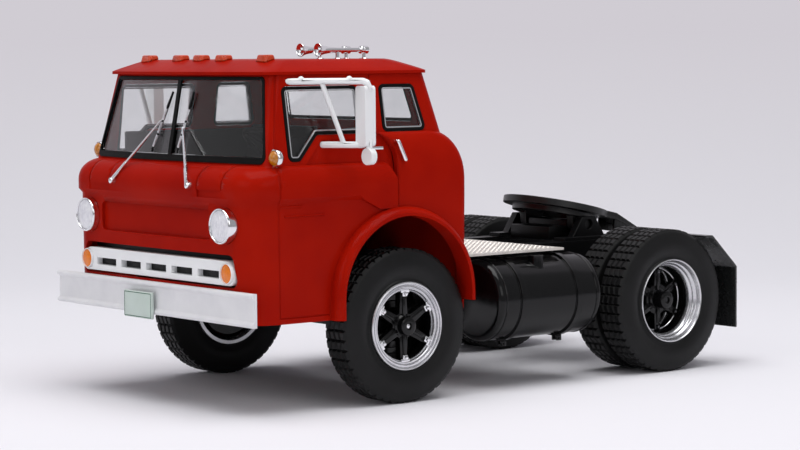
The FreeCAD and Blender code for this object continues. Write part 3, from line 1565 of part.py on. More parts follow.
def tyre(x, y):
    """A round-shouldered tyre whose walls bulge past the rim."""
    half = tyre_width / 2
    bead = bead_width / 2
    tread = tread_width / 2
    z = tyre_radius

    def at(radius, offset):
        return V(x + radius, y + offset, z)
    wall_r = tyre_radius - shoulder_drop
    edge = (tread + half) / 2
    edges = [
        Part.makeLine(at(rim_radius, -bead), at(rim_radius, bead)),
        Part.Arc(at(rim_radius, bead), at(bulge_radius, half), at(wall_r, edge)).toShape(),
        Part.makeLine(at(wall_r, edge), at(tyre_radius, tread)),
        Part.makeLine(at(tyre_radius, tread), at(tyre_radius, -tread)),
        Part.makeLine(at(tyre_radius, -tread), at(wall_r, -edge)),
        Part.Arc(at(wall_r, -edge), at(bulge_radius, -half), at(rim_radius, -bead)).toShape(),
    ]
    face = Part.Face(Part.Wire(edges))
    return face.revolve(V(x, 0, z), V(0, 1, 0), 360)


def hub_arm(face_y, x):
    """One spoke with the clamp on its tip, pointing up from the wheel's centre."""
    tip = rim_bore_radius - fit_gap
    outline = ((0, -spoke_root_width / 2), (tip, -spoke_tip_width / 2), (tip, spoke_tip_width / 2),
               (0, spoke_root_width / 2))
    spoke = prism_along_z(outline, 0, spoke_thickness)
    clamp = box((tip - clamp_length, -clamp_width / 2, spoke_thickness),
                (tip, clamp_width / 2, spoke_thickness + clamp_height))
    arm = spoke.fuse(clamp)
    arm.rotate(V(0, 0, 0), V(1, 0, 0), -90)
    arm.translate(V(x, face_y - spoke_thickness, tyre_radius))
    return arm


def rim(x, y):
    """A rolled steel rim: a barrel with a lip at each edge."""
    half = bead_width / 2
    lip_y = half + rim_lip_width
    inner = rim_radius - rim_wall
    seat = rim_radius - fit_gap
    lip_r = rim_radius + rim_lip_height
    turn_y = half + rim_lip_gap
    outer = ((seat, turn_y), (lip_r, turn_y), (lip_r, lip_y), (inner, lip_y),
             (rim_bore_radius, half - rim_wall))
    profile = [(r, y + offset) for r, offset in outer] + [(r, y - offset) for r, offset in reversed(outer)]
    return turned_about_y(profile, x, tyre_radius)


def hub(x, radius, inner_y, drum_depth, depth, cap_depth):
    """A cast hub: brake drum, barrel, six tapered spokes with a clamp on each tip, and a cap."""
    z = tyre_radius
    face_y = wheel_face_y - depth
    tip = rim_bore_radius - fit_gap
    drum = rod((x, inner_y, z), (x, inner_y + drum_depth, z), tip)
    barrel = rod((x, inner_y, z), (x, face_y, z), radius)
    cap = rod((x, face_y, z), (x, wheel_face_y - cap_depth + hub_cap_height, z), hub_cap_radius)
    parts = [cap, drum]
    for index in range(hub_spokes):
        arm = hub_arm(face_y, x)
        arm.rotate(V(x, 0, z), V(0, 1, 0), 90 + index * 360 / hub_spokes)
        parts.append(arm)
    bore = rod((x, 0, z), (x, face_y - spoke_thickness / 2, z), pin_radius + running_gap)
    keep = rod((x, inner_y, z), (x, wheel_face_y + hub_cap_height, z), tip)
    return solid(barrel.multiFuse(parts).common(keep).cut(bore))


def front_hub():
    inner_y = front_tyre_y - bead_width / 2
    return hub(front_axle_x, front_hub_radius, inner_y, front_drum_depth, front_hub_depth, front_cap_depth)


def rear_hub():
    inner_y = inner_tyre_y - bead_width / 2
    return hub(rear_axle_x, rear_hub_radius, inner_y, rear_drum_depth, rear_hub_depth, rear_cap_depth)


def axle_pins():
    reach = wheel_face_y - spoke_thickness / 2 - interior_gap
    return Part.makeCompound([axle_pin(front_axle_x, reach - front_hub_depth),
                              axle_pin(rear_axle_x, reach - rear_hub_depth)])


def tractor_pieces():
    """Every piece that doesn't move, by name."""
    tank = fuel_tank()
    left_mirror = mirror()
    flap = mudflap()
    return {
        "cab_shell": cab_shell(), "cab_interior": cab_interior(), "steering_wheel": steering_wheel(),
        "windscreen_glass": windscreen_glass(), "windscreen_seal": windscreen_seal(),
        "door_glass": side_glass(door_window()), "door_window_seals": side_seal(door_window()),
        "quarter_glass": side_glass(quarter_window()), "quarter_window_seals": side_seal(quarter_window()),
        "rear_glass": rear_glass(), "rear_window_seal": rear_window_seal(),
        "grille_bar": grille_bar(), "bumper": bumper(), "number_plate": number_plate(),
        "headlamp_bezels": headlamp_bezels(), "headlamp_lenses": headlamp_lenses(),
        "turn_signals": turn_signals(), "corner_lamps": corner_lamps(), "roof_markers": roof_markers(),
        "air_horns": air_horns(), "wipers": wipers(), "door_handles": door_handles(),
        "grab_handles": grab_handles(), "mirror_left": left_mirror, "mirror_right": mirrored(left_mirror),
        "chassis_frame": chassis_frame(), "engine_block": engine_block(),
        "front_axle_beam": front_axle_beam(), "rear_axle_housing": rear_axle_housing(),
        "axle_pins": axle_pins(), "springs": springs(), "propshaft": propshaft(),
        "fuel_tank_left": tank, "fuel_tank_right": mirrored(tank),
        "catwalk_plate": catwalk_plate(), "fifth_wheel_pedestals": fifth_wheel_pedestals(),
        "mudflap_left": flap, "mudflap_right": mirrored(flap), "tail_lamps": tail_lamps(),
    }


def wheel_pieces():
    """The tyre, rim and hub of each wheel set, on both sides."""
    left = {
        "front_tyre": tyre(front_axle_x, front_tyre_y), "front_rim": rim(front_axle_x, front_tyre_y),
        "front_hub": front_hub(),
        "rear_tyres": Part.makeCompound([tyre(rear_axle_x, inner_tyre_y), tyre(rear_axle_x, outer_tyre_y)]),
        "rear_rims": Part.makeCompound([rim(rear_axle_x, inner_tyre_y), rim(rear_axle_x, outer_tyre_y)]),
        "rear_hub": rear_hub(),
    }
    pieces = {}
    for name, shape in left.items():
        pieces[name + "_left"] = shape
        pieces[name + "_right"] = mirrored(shape)
    return pieces


def main():
    os.makedirs("parts", exist_ok=True)
    pieces = tractor_pieces()
    pieces.update(wheel_pieces())
    pieces["fifth_wheel_plate"] = fifth_wheel_plate()
    for name, shape in pieces.items():
        shape.exportStep("parts/" + name + ".step")


main()
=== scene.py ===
"""A small collector's model of a cab-over tractor unit, dressed and lit for one photograph.

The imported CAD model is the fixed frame. Every sub-assembly is a class that holds its sizes in
millimetres, builds its meshes from them and hands them to the workshop, which sets them in the frame.
"""

import logging
import math
from dataclasses import dataclass
from enum import Enum
from typing import Iterable, Optional, Sequence

import bmesh
import bpy
from mathutils import Matrix, Vector


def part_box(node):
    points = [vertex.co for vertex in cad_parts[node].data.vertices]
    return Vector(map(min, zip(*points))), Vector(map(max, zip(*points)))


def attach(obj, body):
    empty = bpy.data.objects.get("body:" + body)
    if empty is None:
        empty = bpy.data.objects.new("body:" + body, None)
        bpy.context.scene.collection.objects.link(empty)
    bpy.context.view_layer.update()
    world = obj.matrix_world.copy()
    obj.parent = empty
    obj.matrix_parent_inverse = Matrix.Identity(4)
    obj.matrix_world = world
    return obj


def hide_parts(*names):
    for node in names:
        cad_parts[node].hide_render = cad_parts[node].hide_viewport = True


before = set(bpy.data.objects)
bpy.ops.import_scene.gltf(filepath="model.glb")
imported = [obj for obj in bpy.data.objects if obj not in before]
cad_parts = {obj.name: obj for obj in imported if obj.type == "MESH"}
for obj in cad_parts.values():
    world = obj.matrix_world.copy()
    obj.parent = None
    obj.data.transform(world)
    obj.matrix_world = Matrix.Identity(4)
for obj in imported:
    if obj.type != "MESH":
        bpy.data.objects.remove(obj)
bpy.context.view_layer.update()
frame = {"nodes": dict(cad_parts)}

log = logging.getLogger("tractor")
Triple = tuple[float, float, float]
Pair = tuple[float, float]
Outline = tuple[Pair, ...]
Colour = tuple[float, float, float, float]
MM = 0.001
FULL_TURN = 2 * math.pi
QUARTER_TURN = math.pi / 2
FORWARD = (1, 0, 0)
LEFTWARD = (0, 1, 0)
UPWARD = (0, 0, 1)
SECTION_PLANES = {FORWARD: UPWARD, LEFTWARD: FORWARD, UPWARD: (1, 1, 0)}


@dataclass(frozen=True)
class Drive:
    """The driving dimensions that the CAD model was built from."""

    tyre_radius: float = 12.2
    front_axle_x: float = 21.3
    wheelbase: float = 57.7
    front_tyre_y: float = 24.25
    outer_tyre_y: float = 24.5
    inner_tyre_y: float = 18.1
    pivot: Pair = (-33.9, 24.5)
    rest_tilt: float = 12.5


DRIVE = Drive()


class Body(Enum):
    """The moving groups of the model."""

    TRACTOR = "tractor"
    FRONT_LEFT = "front_wheel_left"
    FRONT_RIGHT = "front_wheel_right"
    REAR_LEFT = "rear_wheels_left"
    REAR_RIGHT = "rear_wheels_right"
    FIFTH_WHEEL = "fifth_wheel"


class Side(Enum):
    """The truck's two sides, as the sign of Y."""

    LEFT = 1
    RIGHT = -1

    @property
    def word(self) -> str:
        """The side as it stands in a piece's name."""
        return self.name.lower()


def linear(code: str) -> Colour:
    """Turn a six-figure colour code into a linear colour.

    Args:
        code: The colour as six hexadecimal figures.

    Returns:
        Red, green, blue and an alpha of 1.
    """
    parts = [int(code[i:i + 2], 16) / 255 for i in (0, 2, 4)]
    return tuple(c / 12.92 if c <= 0.04045 else ((c + 0.055) / 1.055) ** 2.4 for c in parts) + (1.0,)


def shares(count: int) -> list[float]:
    """Divide a whole evenly.

    Args:
        count: The number of parts.

    Returns:
        The marks between the parts, from 0 to 1.
    """
    return [step / count for step in range(count + 1)]


def stepped(start: Pair, steps: Iterable[Pair]) -> list[Pair]:
    """Draw part of a section as steps from one point of it.

    Args:
        start: The point, as radius and place along the axis.
        steps: The way from it to each corner.

    Returns:
        The corners.
    """
    return [(start[0] + out, start[1] + along) for out, along in steps]


def swelled(radius: float, section: Iterable[Pair]) -> list[Pair]:
    """Draw part of a section whose radii are shares of one radius.

    Args:
        radius: The whole radius.
        section: Shares of it, each with a place along the axis.

    Returns:
        The corners.
    """
    return [(radius * share, along) for share, along in section]


# Finishes


class Graph:
    """The node tree of one procedural material, on the piece's own object coordinates."""

    def __init__(self, name: str) -> None:
        """Start an empty material.

        Args:
            name: The material's name.
        """
        self.material = bpy.data.materials.new(name)
        self.material.use_nodes = True
        self.tree = self.material.node_tree
        self.tree.nodes.clear()
        self.place = self.add("ShaderNodeTexCoord").outputs["Object"]

    def add(self, kind: str, inputs: Optional[dict] = None, **settings: object) -> bpy.types.Node:
        """Add a node.

        Args:
            kind: The node's type.
            inputs: Values or sockets for its inputs, by name or index.
            **settings: Attributes of the node.

        Returns:
            The new node.
        """
        node = self.tree.nodes.new(kind)
        for key, value in settings.items():
            setattr(node, key, value)
        for key, value in (inputs or {}).items():
            if isinstance(value, bpy.types.NodeSocket):
                self.tree.links.new(value, node.inputs[key])
            else:
                node.inputs[key].default_value = value
        return node

    def moved(self, offset: Triple = (0, 0, 0), scale: Triple = (1, 1, 1)) -> bpy.types.NodeSocket:
        """Shift and stretch the object coordinates.

        Args:
            offset: The point in millimetres that becomes the origin.
            scale: The stretch along each axis.

        Returns:
            The moved coordinates.
        """
        back = tuple(-c * MM for c in offset)
        centred = self.add("ShaderNodeVectorMath", {0: self.place, 1: back}, operation="ADD")
        return self.add("ShaderNodeMapping", {"Vector": centred.outputs[0], "Scale": scale}).outputs["Vector"]

    def distance(self, centre: Triple, across: Triple) -> bpy.types.NodeSocket:
        """Measure how far the surface lies from an axis.

        Args:
            centre: A point on the axis, in millimetres.
            across: 1 for the directions across the axis and 0 for the one along it.

        Returns:
            The distance in metres.
        """
        spot = self.moved(centre, across)
        return self.add("ShaderNodeVectorMath", {0: spot}, operation="LENGTH").outputs[1]

    def noise(self, size: float, detail: float = 3.0, rough: float = 0.55,
              vector: Optional[bpy.types.NodeSocket] = None) -> bpy.types.NodeSocket:
        """Add soft noise.

        Args:
            size: The size of its features in millimetres.
            detail: Its octaves.
            rough: How strong the finer octaves are.
            vector: The coordinates, or None for the piece's own.

        Returns:
            The noise as a number.
        """
        return self.add("ShaderNodeTexNoise", {
            "Vector": vector or self.place, "Scale": 1 / (size * MM), "Detail": detail,
            "Roughness": rough}).outputs[0]

    def waves(self, length: bpy.types.NodeSocket, pitch: float) -> bpy.types.NodeSocket:
        """Turn a length into even waves.

        Args:
            length: The length in metres.
            pitch: The waves' pitch in millimetres.

        Returns:
            A number between -1 and 1.
        """
        return self.maths("SINE", self.maths("MULTIPLY", length, FULL_TURN / (pitch * MM)))

    def ramp(self, value: bpy.types.NodeSocket, first: str, second: str, ends: Pair) -> bpy.types.NodeSocket:
        """Turn a number into a blend of two colours.

        Args:
            value: The number.
            first: The code of the colour up to the first end.
            second: The code of the colour from the second end on.
            ends: The numbers between which the colours blend.

        Returns:
            The colour.
        """
        node = self.add("ShaderNodeValToRGB", {0: value})
        for element, place, code in zip(node.color_ramp.elements, ends, (first, second)):
            element.position = place
            element.color = linear(code)
        return node.outputs[0]

    def span(self, value: bpy.types.NodeSocket, low: float, high: float,
             source: Pair = (0.0, 1.0)) -> bpy.types.NodeSocket:
        """Stretch a number over a new range.

        Args:
            value: The number.
            low: The result at the source's low end.
            high: The result at the source's high end.
            source: The range that the number has.

        Returns:
            The stretched number.
        """
        return self.add("ShaderNodeMapRange", {
            0: value, 1: source[0], 2: source[1], 3: low, 4: high}).outputs[0]

    def maths(self, operation: str, first: object, second: object = 0.0) -> bpy.types.NodeSocket:
        """Add one step of arithmetic.

        Args:
            operation: The Math node's operation.
            first: A number or socket.
            second: A number or socket.

        Returns:
            The result.
        """
        return self.add("ShaderNodeMath", {0: first, 1: second}, operation=operation).outputs[0]

    def mix(self, share: object, first: object, second: object) -> bpy.types.NodeSocket:
        """Mix two colours.

        Args:
            share: How much of the second shows.
            first: The first colour.
            second: The second colour.

        Returns:
            The mixed colour.
        """
        return self.add("ShaderNodeMix", {0: share, 6: first, 7: second}, data_type="RGBA").outputs[2]

    def bump(self, height: bpy.types.NodeSocket, depth: float, strength: float = 1.0,
             normal: Optional[bpy.types.NodeSocket] = None) -> bpy.types.NodeSocket:
        """Raise fine relief.

        Args:
            height: The relief as a number.
            depth: Its depth in millimetres.
            strength: How much of it shows.
            normal: A relief that it is laid over.

        Returns:
            The bent normal.
        """
        inputs = {"Strength": strength, "Distance": depth * MM, "Height": height}
        if normal is not None:
            inputs["Normal"] = normal
        return self.add("ShaderNodeBump", inputs).outputs[0]

    def surface(self, **sockets: object) -> bpy.types.Material:
        """Close the tree with the shader.

        Args:
            **sockets: The shader's inputs, with underscores for spaces.

        Returns:
            The material.
        """
        inputs = {key.replace("_", " "): value for key, value in sockets.items()}
        shader = self.add("ShaderNodeBsdfPrincipled", inputs)
        self.add("ShaderNodeOutputMaterial", {0: shader.outputs[0]})
        return self.material


@dataclass(frozen=True)
class Finish:
    """A finish that makes its material once."""

    name: str

    def build(self) -> bpy.types.Material:
        """Make the material."""
        raise NotImplementedError

    def material(self) -> bpy.types.Material:
        """The material, made at the first call."""
        found = bpy.data.materials.get(self.name)
        return found or self.build()


@dataclass(frozen=True)
class Lacquer(Finish):
    """Sprayed paint: a soft drift of shade, faint orange peel and a clear coat."""

    colour: str
    deep: str
    rough: float = 0.33
    coat: float = 0.05
    drift_size: float = 9.0
    speck_size: float = 0.12
    peel_size: float = 0.55
    peel_depth: float = 0.012
    grain_size: float = 0.09
    grain_depth: float = 0.002
    rub_size: float = 2.2

    def build(self) -> bpy.types.Material:
        """Make the material."""
        graph = Graph(self.name)
        shade = graph.ramp(graph.noise(self.drift_size, 2.0), self.deep, self.colour, (0.3, 0.7))
        tint = graph.mix(graph.span(graph.noise(self.speck_size, 2.0), 0.0, 0.10), shade, linear(self.deep))
        peel = graph.bump(graph.noise(self.peel_size, 2.0, 0.45), self.peel_depth, 0.6)
        normal = graph.bump(graph.noise(self.grain_size, 1.0), self.grain_depth, 0.5, peel)
        rough = graph.span(graph.noise(self.rub_size, 3.0), self.rough - 0.05, self.rough + 0.07)
        return graph.surface(Base_Color=tint, Roughness=rough, Normal=normal, Coat_Weight=self.coat,
                             Coat_Roughness=0.12, Specular_IOR_Level=0.01)


@dataclass(frozen=True)
class Moulding(Finish):
    """Moulded plastic: a faint flow pattern, spark-eroded grain and a little dust."""

    colour: str
    worn: str
    rough: float = 0.42
    grain_depth: float = 0.006
    coat: float = 0.0
    gloss: float = 0.3
    flow_size: float = 6.0
    flow_stretch: float = 0.35
    dust_size: float = 0.35
    grain_size: float = 0.14
    rub_size: float = 1.4

    def build(self) -> bpy.types.Material:
        """Make the material."""
        graph = Graph(self.name)
        flow = graph.noise(self.flow_size, 3.0, 0.6, graph.moved(scale=(self.flow_stretch, 1.0, 1.0)))
        base = graph.ramp(flow, self.colour, self.worn, (0.35, 0.75))
        dust = graph.span(graph.noise(self.dust_size, 4.0, 0.7), 0.0, 0.35, (0.62, 0.85))
        rough = graph.span(graph.noise(self.rub_size, 4.0), self.rough - 0.08, self.rough + 0.1)
        normal = graph.bump(graph.noise(self.grain_size, 2.0, 0.6), self.grain_depth, 0.6)
        tint = graph.mix(dust, base, linear(self.worn))
        return graph.surface(Base_Color=tint, Roughness=rough, Normal=normal, Coat_Weight=self.coat,
                             Coat_Roughness=0.1, Specular_IOR_Level=self.gloss)


@dataclass(frozen=True)
class Greased(Finish):
    """Satin black with the turned grooves of a coupling plate round its pivot."""

    colour: str
    worn: str
    centre_x: float
    rough: float
    groove_pitch: float = 0.62
    groove_depth: float = 0.012
    cloud_size: float = 2.6
    grain_size: float = 0.14
    grain_depth: float = 0.004
    rub_size: float = 1.1

    def build(self) -> bpy.types.Material:
        """Make the material."""
        graph = Graph(self.name)
        rings = graph.waves(graph.distance((self.centre_x, 0, 0), (1, 1, 0)), self.groove_pitch)
        tint = graph.ramp(graph.noise(self.cloud_size, 4.0, 0.6), self.colour, self.worn, (0.35, 0.75))
        rough = graph.span(graph.noise(self.rub_size, 3.0), self.rough - 0.1, self.rough + 0.08)
        fine = graph.bump(graph.noise(self.grain_size, 2.0), self.grain_depth, 0.5)
        normal = graph.bump(rings, self.groove_depth, 0.5, fine)
        return graph.surface(Base_Color=tint, Roughness=rough, Normal=normal)


@dataclass(frozen=True)
class Plating(Finish):
    """Bright or satin metal: a clouded polish and tiny pits."""

    colour: str
    stain: str
    rough: float = 0.16
    metallic: float = 1.0
    cloud_size: float = 2.4
    rub_size: float = 0.9
    pit_size: float = 0.25
    pit_depth: float = 0.0012

    def build(self) -> bpy.types.Material:
        """Make the material."""
        graph = Graph(self.name)
        tint = graph.ramp(graph.noise(self.cloud_size, 3.0, 0.5), self.stain, self.colour, (0.3, 0.65))
        rough = graph.span(graph.noise(self.rub_size, 2.0), self.rough - 0.03, self.rough + 0.05)
        normal = graph.bump(graph.noise(self.pit_size, 2.0), self.pit_depth, 0.4)
        return graph.surface(Base_Color=tint, Roughness=rough, Normal=normal, Metallic=self.metallic)


@dataclass(frozen=True)
class Rubber(Finish):
    """Tyre rubber: fine moulding rings round the wheel's centre and a grey bloom."""

    colour: str
    bloom: str
    centre_x: float
    centre_z: float
    ring_pitch: float = 0.55
    ring_depth: float = 0.0022
    rough: float = 0.46
    cloud_size: float = 3.5
    rub_size: float = 0.8
    grain_size: float = 0.11
    grain_depth: float = 0.005

    def build(self) -> bpy.types.Material:
        """Make the material."""
        graph = Graph(self.name)
        rings = graph.waves(graph.distance((self.centre_x, 0, self.centre_z), (1, 0, 1)), self.ring_pitch)
        tint = graph.ramp(graph.noise(self.cloud_size, 4.0, 0.6), self.colour, self.bloom, (0.35, 0.75))
        rough = graph.span(graph.noise(self.rub_size, 3.0), self.rough - 0.05, self.rough + 0.08)
        fine = graph.bump(graph.noise(self.grain_size, 2.0), self.grain_depth, 0.6)
        normal = graph.bump(rings, self.ring_depth, 0.5, fine)
        return graph.surface(Base_Color=tint, Roughness=rough, Normal=normal, Specular_IOR_Level=0.26)


@dataclass(frozen=True)
class Glazing(Finish):
    """Clear moulded window: faint tint, flow waves and a few smears."""

    colour: str
    smeared: str
    rough: float = 0.02
    smear_size: float = 2.5
    smear_stretch: float = 0.4
    flow_size: float = 5.0
    flow_depth: float = 0.02

    def build(self) -> bpy.types.Material:
        """Make the material."""
        graph = Graph(self.name)
        smear = graph.noise(self.smear_size, 4.0, 0.6, graph.moved(scale=(1, self.smear_stretch, 1)))
        rough = graph.span(smear, self.rough, self.rough + 0.09, (0.5, 0.9))
        normal = graph.bump(graph.noise(self.flow_size, 1.0), self.flow_depth, 0.35)
        tint = graph.ramp(smear, self.colour, self.smeared, (0.4, 0.8))
        return graph.surface(Base_Color=tint, Roughness=rough, Normal=normal,
                             Transmission_Weight=1.0, IOR=1.45)


@dataclass(frozen=True)
class Lens(Finish):
    """Tinted lamp plastic over a bright back, with a fine ribbed inside."""

    colour: str
    deep: str
    rib_pitch: float = 0.32
    transmission: float = 0.35
    rough: float = 0.14
    coat: float = 0.6
    rib_depth: float = 0.015
    cloud_size: float = 0.7
    rub_size: float = 0.5

    def build(self) -> bpy.types.Material:
        """Make the material."""
        graph = Graph(self.name)
        ribs = graph.waves(graph.add("ShaderNodeSeparateXYZ", {0: graph.place}).outputs[1], self.rib_pitch)
        tint = graph.ramp(graph.noise(self.cloud_size, 3.0), self.deep, self.colour, (0.3, 0.65))
        shade = graph.mix(graph.span(ribs, 0.0, 0.22, (-1.0, 1.0)), tint, linear(self.deep))
        rough = graph.span(graph.noise(self.rub_size, 2.0), self.rough - 0.04, self.rough + 0.06)
        return graph.surface(Base_Color=shade, Roughness=rough, Normal=graph.bump(ribs, self.rib_depth, 0.5),
                             Transmission_Weight=self.transmission, IOR=1.49, Coat_Weight=self.coat,
                             Coat_Roughness=0.05)


class Palette:
    """Every finish of the model."""

    red = Lacquer("cab_red_lacquer", "A31606", "961005")
    white = Moulding("white_moulding", "E2E2E4", "D6D6D9", 0.34, 0.003, 0.25)
    bumper = Moulding("bumper_white", "E6E6E8", "DCDCDF", 0.34, 0.003, 0.25)
    black = Moulding("black_satin_moulding", "050506", "0B0B0C", 0.36, 0.005, 0.0, 0.2)
    gloss_black = Moulding("black_gloss_moulding", "060607", "0B0B0C", 0.14, 0.002, 0.06, 0.24)
    flap = Moulding("flap_black", "1E1F1F", "262727", 0.26, 0.003, 0.2, 0.5)
    interior = Moulding("dark_cab_moulding", "0D0C0C", "151314", 0.6, 0.01, 0.0, 0.12)
    gasket = Moulding("window_gasket_black", "050505", "0A0A0A", 0.5, 0.004, 0.0, 0.12)
    hub = Moulding("wheel_hub_black", "050505", "0A0A0B", 0.2, 0.002, 0.08, 0.28)
    plate = Moulding("number_plate_pale", "C9D6CF", "BECCC4", 0.4, 0.003)
    plate_line = Moulding("number_plate_border", "2E5A45", "3A6A54", 0.4, 0.003)
    marker = Moulding("roof_marker_orange", "C8431A", "B63A14", 0.26, 0.002, 0.3)
    greased = Greased("coupling_plate_black", "070708", "0F0F0F", DRIVE.pivot[0], 0.36)
    chrome = Plating("bright_chrome", "EDEDEF", "E2E2E5", 0.07)
    mirror = Plating("mirror_silver", "DCDFE2", "D2D5D9", 0.06)
    trim = Plating("silver_trim", "EFEFF1", "E2E2E5", 0.16)
    rim = Plating("wheel_silver", "DCDCDF", "CDCDD1", 0.22, 0.85)
    pin = Plating("steel_pin", "C2C2C5", "AEAEB1", 0.22)
    dark_nut = Plating("dark_steel_nut", "6A6A6D", "4E4E51", 0.26)
    tread = Plating("tread_plate_bright", "DAD5CE", "CBC6BF", 0.34, 0.35)
    clear = Glazing("clear_window", "FBFCFC", "F4F6F6")
    lamp = Lens("headlamp_clear", "F6F6FA", "DEDEE6", 0.42, 0.05, 0.1)
    orange = Lens("signal_orange", "F08200", "DE7000", 0.4, 0.0, 0.2, 0.1)
    amber = Lens("corner_amber", "D98A12", "B06A0A", 0.4, 0.15)
    tail = Lens("tail_red", "A80F0F", "6E0909", 0.4, 0.2)
    front_rubber = Rubber("tyre_rubber_front", "070707", "0F0F10", DRIVE.front_axle_x, DRIVE.tyre_radius)
    rear_rubber = Rubber("tyre_rubber_rear", "070707", "0F0F10", DRIVE.front_axle_x - DRIVE.wheelbase,
                         DRIVE.tyre_radius)


# Mesh making


class Shape:
    """A bmesh in millimetres, with the operators that this model needs."""

    def __init__(self) -> None:
        """Start empty."""
        self.bm = bmesh.new()

    def everything(self) -> list[object]:
        """All corners, edges and faces so far."""
        return self.bm.verts[:] + self.bm.edges[:] + self.bm.faces[:]

    def rounded(self, edges: Iterable[bmesh.types.BMEdge], offset: float,
                segments: int = 2) -> list[bmesh.types.BMVert]:
        """Round some edges.

        Args:
            edges: The edges.
            offset: The rounding.
            segments: Steps across it.

        Returns:
            The vertices of the faces that it made.
        """
        made = bmesh.ops.bevel(self.bm, geom=list(edges), offset=offset, segments=segments, affect="EDGES",
                               profile=0.5, material=-1)
        return list({v for f in made["faces"] for v in f.verts})

    def extruded(self, faces: Sequence[bmesh.types.BMFace]) -> list[bmesh.types.BMVert]:
        """Extrude some faces without moving them yet.

        Args:
            faces: The faces.

        Returns:
            The new vertices.
        """
        made = bmesh.ops.extrude_face_region(self.bm, geom=faces)
        return [g for g in made["geom"] if isinstance(g, bmesh.types.BMVert)]

    def copied(self) -> tuple[list[bmesh.types.BMVert], list[bmesh.types.BMFace]]:
        """Copy everything so far in place.

        Returns:
            The copy's vertices and faces.
        """
        made = bmesh.ops.duplicate(self.bm, geom=self.everything())["geom"]
        return ([g for g in made if isinstance(g, bmesh.types.BMVert)],
                [g for g in made if isinstance(g, bmesh.types.BMFace)])

    def block(self, low: Triple, high: Triple, bevel: float = 0.0,
              segments: int = 2) -> list[bmesh.types.BMVert]:
        """Add a box with rounded edges.

        Args:
            low: The lowest corner.
            high: The highest corner.
            bevel: The rounding.
            segments: Steps across the rounding.

        Returns:
            The block's vertices.
        """
        low, high = Vector(low), Vector(high)
        matrix = Matrix.Translation((low + high) / 2) @ Matrix.Diagonal((high - low).to_4d())
        verts = bmesh.ops.create_cube(self.bm, size=1.0, matrix=matrix)["verts"]
        if bevel:
            verts = self.rounded({e for v in verts for e in v.link_edges}, bevel, segments)
        return verts

    def rod(self, start: Triple, end: Triple, radius: float, sides: int = 20,
            bevel: float = 0.0) -> list[bmesh.types.BMVert]:
        """Add a round bar between two points.

        Args:
            start: The first end.
            end: The second end.
            radius: The bar's radius.
            sides: The facets round it.
            bevel: The rounding of its two rims.

        Returns:
            The bar's vertices.
        """
        start, end = Vector(start), Vector(end)
        along = end - start
        matrix = Matrix.Translation((start + end) / 2) @ along.to_track_quat("Z", "Y").to_matrix().to_4x4()
        verts = bmesh.ops.create_cone(self.bm, cap_ends=True, segments=sides, radius1=radius, radius2=radius,
                                      depth=along.length, matrix=matrix)["verts"]
        if bevel:
            caps = {f for v in verts for f in v.link_faces if len(f.verts) == sides}
            verts = self.rounded({e for f in caps for e in f.edges}, bevel)
        return verts

    def turned(self, profile: Sequence[Pair], centre: Triple, axis: Triple, steps: int = 64,
               closed: bool = False) -> list[bmesh.types.BMVert]:
        """Spin a profile about an axis.

        Args:
            profile: Points as radius and place along the axis.
            centre: A point on the axis, from which places are counted.
            axis: The axis's direction, which is one of the three main ones.
            steps: The facets round it.
            closed: Whether the profile's last point joins its first.

        Returns:
            The turned piece's vertices.
        """
        out = Vector(SECTION_PLANES[axis]).normalized()
        centre, axis = Vector(centre), Vector(axis)
        before = set(self.bm.verts)
        verts = [self.bm.verts.new(centre + out * r + axis * a) for r, a in profile]
        edges = [self.bm.edges.new(pair) for pair in zip(verts, verts[1:])]
        if closed:
            edges.append(self.bm.edges.new((verts[-1], verts[0])))
        bmesh.ops.spin(self.bm, geom=verts + edges, cent=centre, axis=axis, angle=FULL_TURN, steps=steps,
                       use_merge=True)
        bmesh.ops.remove_doubles(self.bm, verts=[v for v in self.bm.verts if v not in before], dist=1e-4)
        made = [v for v in self.bm.verts if v not in before]
        bmesh.ops.recalc_face_normals(self.bm, faces=list({f for v in made for f in v.link_faces}))
        return made

    def prism(self, outline: Sequence[Triple], along: Triple, bevel: float = 0.0) -> list[bmesh.types.BMVert]:
        """Extrude a flat outline.

        Args:
            outline: Its corners.
            along: The direction and length of the extrusion.
            bevel: The rounding of every edge.

        Returns:
            The prism's vertices.
        """
        corners = [self.bm.verts.new(point) for point in outline]
        moved = self.extruded([self.bm.faces.new(corners)])
        bmesh.ops.translate(self.bm, verts=moved, vec=Vector(along))
        verts = corners + moved
        faces = list({f for v in verts for f in v.link_faces})
        bmesh.ops.recalc_face_normals(self.bm, faces=faces)
        if bevel:
            verts = self.rounded({e for f in faces for e in f.edges}, bevel)
        return verts

    def strip(self, start: Sequence[float], end: Sequence[float], width: float, thickness: float,
              end_width: Optional[float] = None, bevel: float = 0.05) -> list[bmesh.types.BMVert]:
        """Add a flat bar between two points, its width across the truck.

        Args:
            start: The middle of its first end.
            end: The middle of its second end.
            width: Its width at the start.
            thickness: Its thickness.
            end_width: Its width at the end, or None for the same.
            bevel: The rounding of its edges, which a thin bar has less of.

        Returns:
            The bar's vertices.
        """
        start, end = Vector(start), Vector(end)
        along = (end - start).normalized()
        across = (Vector(LEFTWARD) - along * along.y).normalized()
        size = Vector(((end - start).length, width, thickness))
        verts = bmesh.ops.create_cube(self.bm, size=1.0, matrix=Matrix.Diagonal(size.to_4d()))["verts"]
        if end_width is not None:
            bmesh.ops.scale(self.bm, vec=(1, end_width / width, 1), verts=[v for v in verts if v.co.x > 0])
        verts = self.rounded({e for v in verts for e in v.link_edges}, min(bevel, thickness * 0.3))
        basis = Matrix((along, across, along.cross(across))).transposed().to_4x4()
        bmesh.ops.transform(self.bm, matrix=Matrix.Translation((start + end) / 2) @ basis, verts=verts)
        return verts

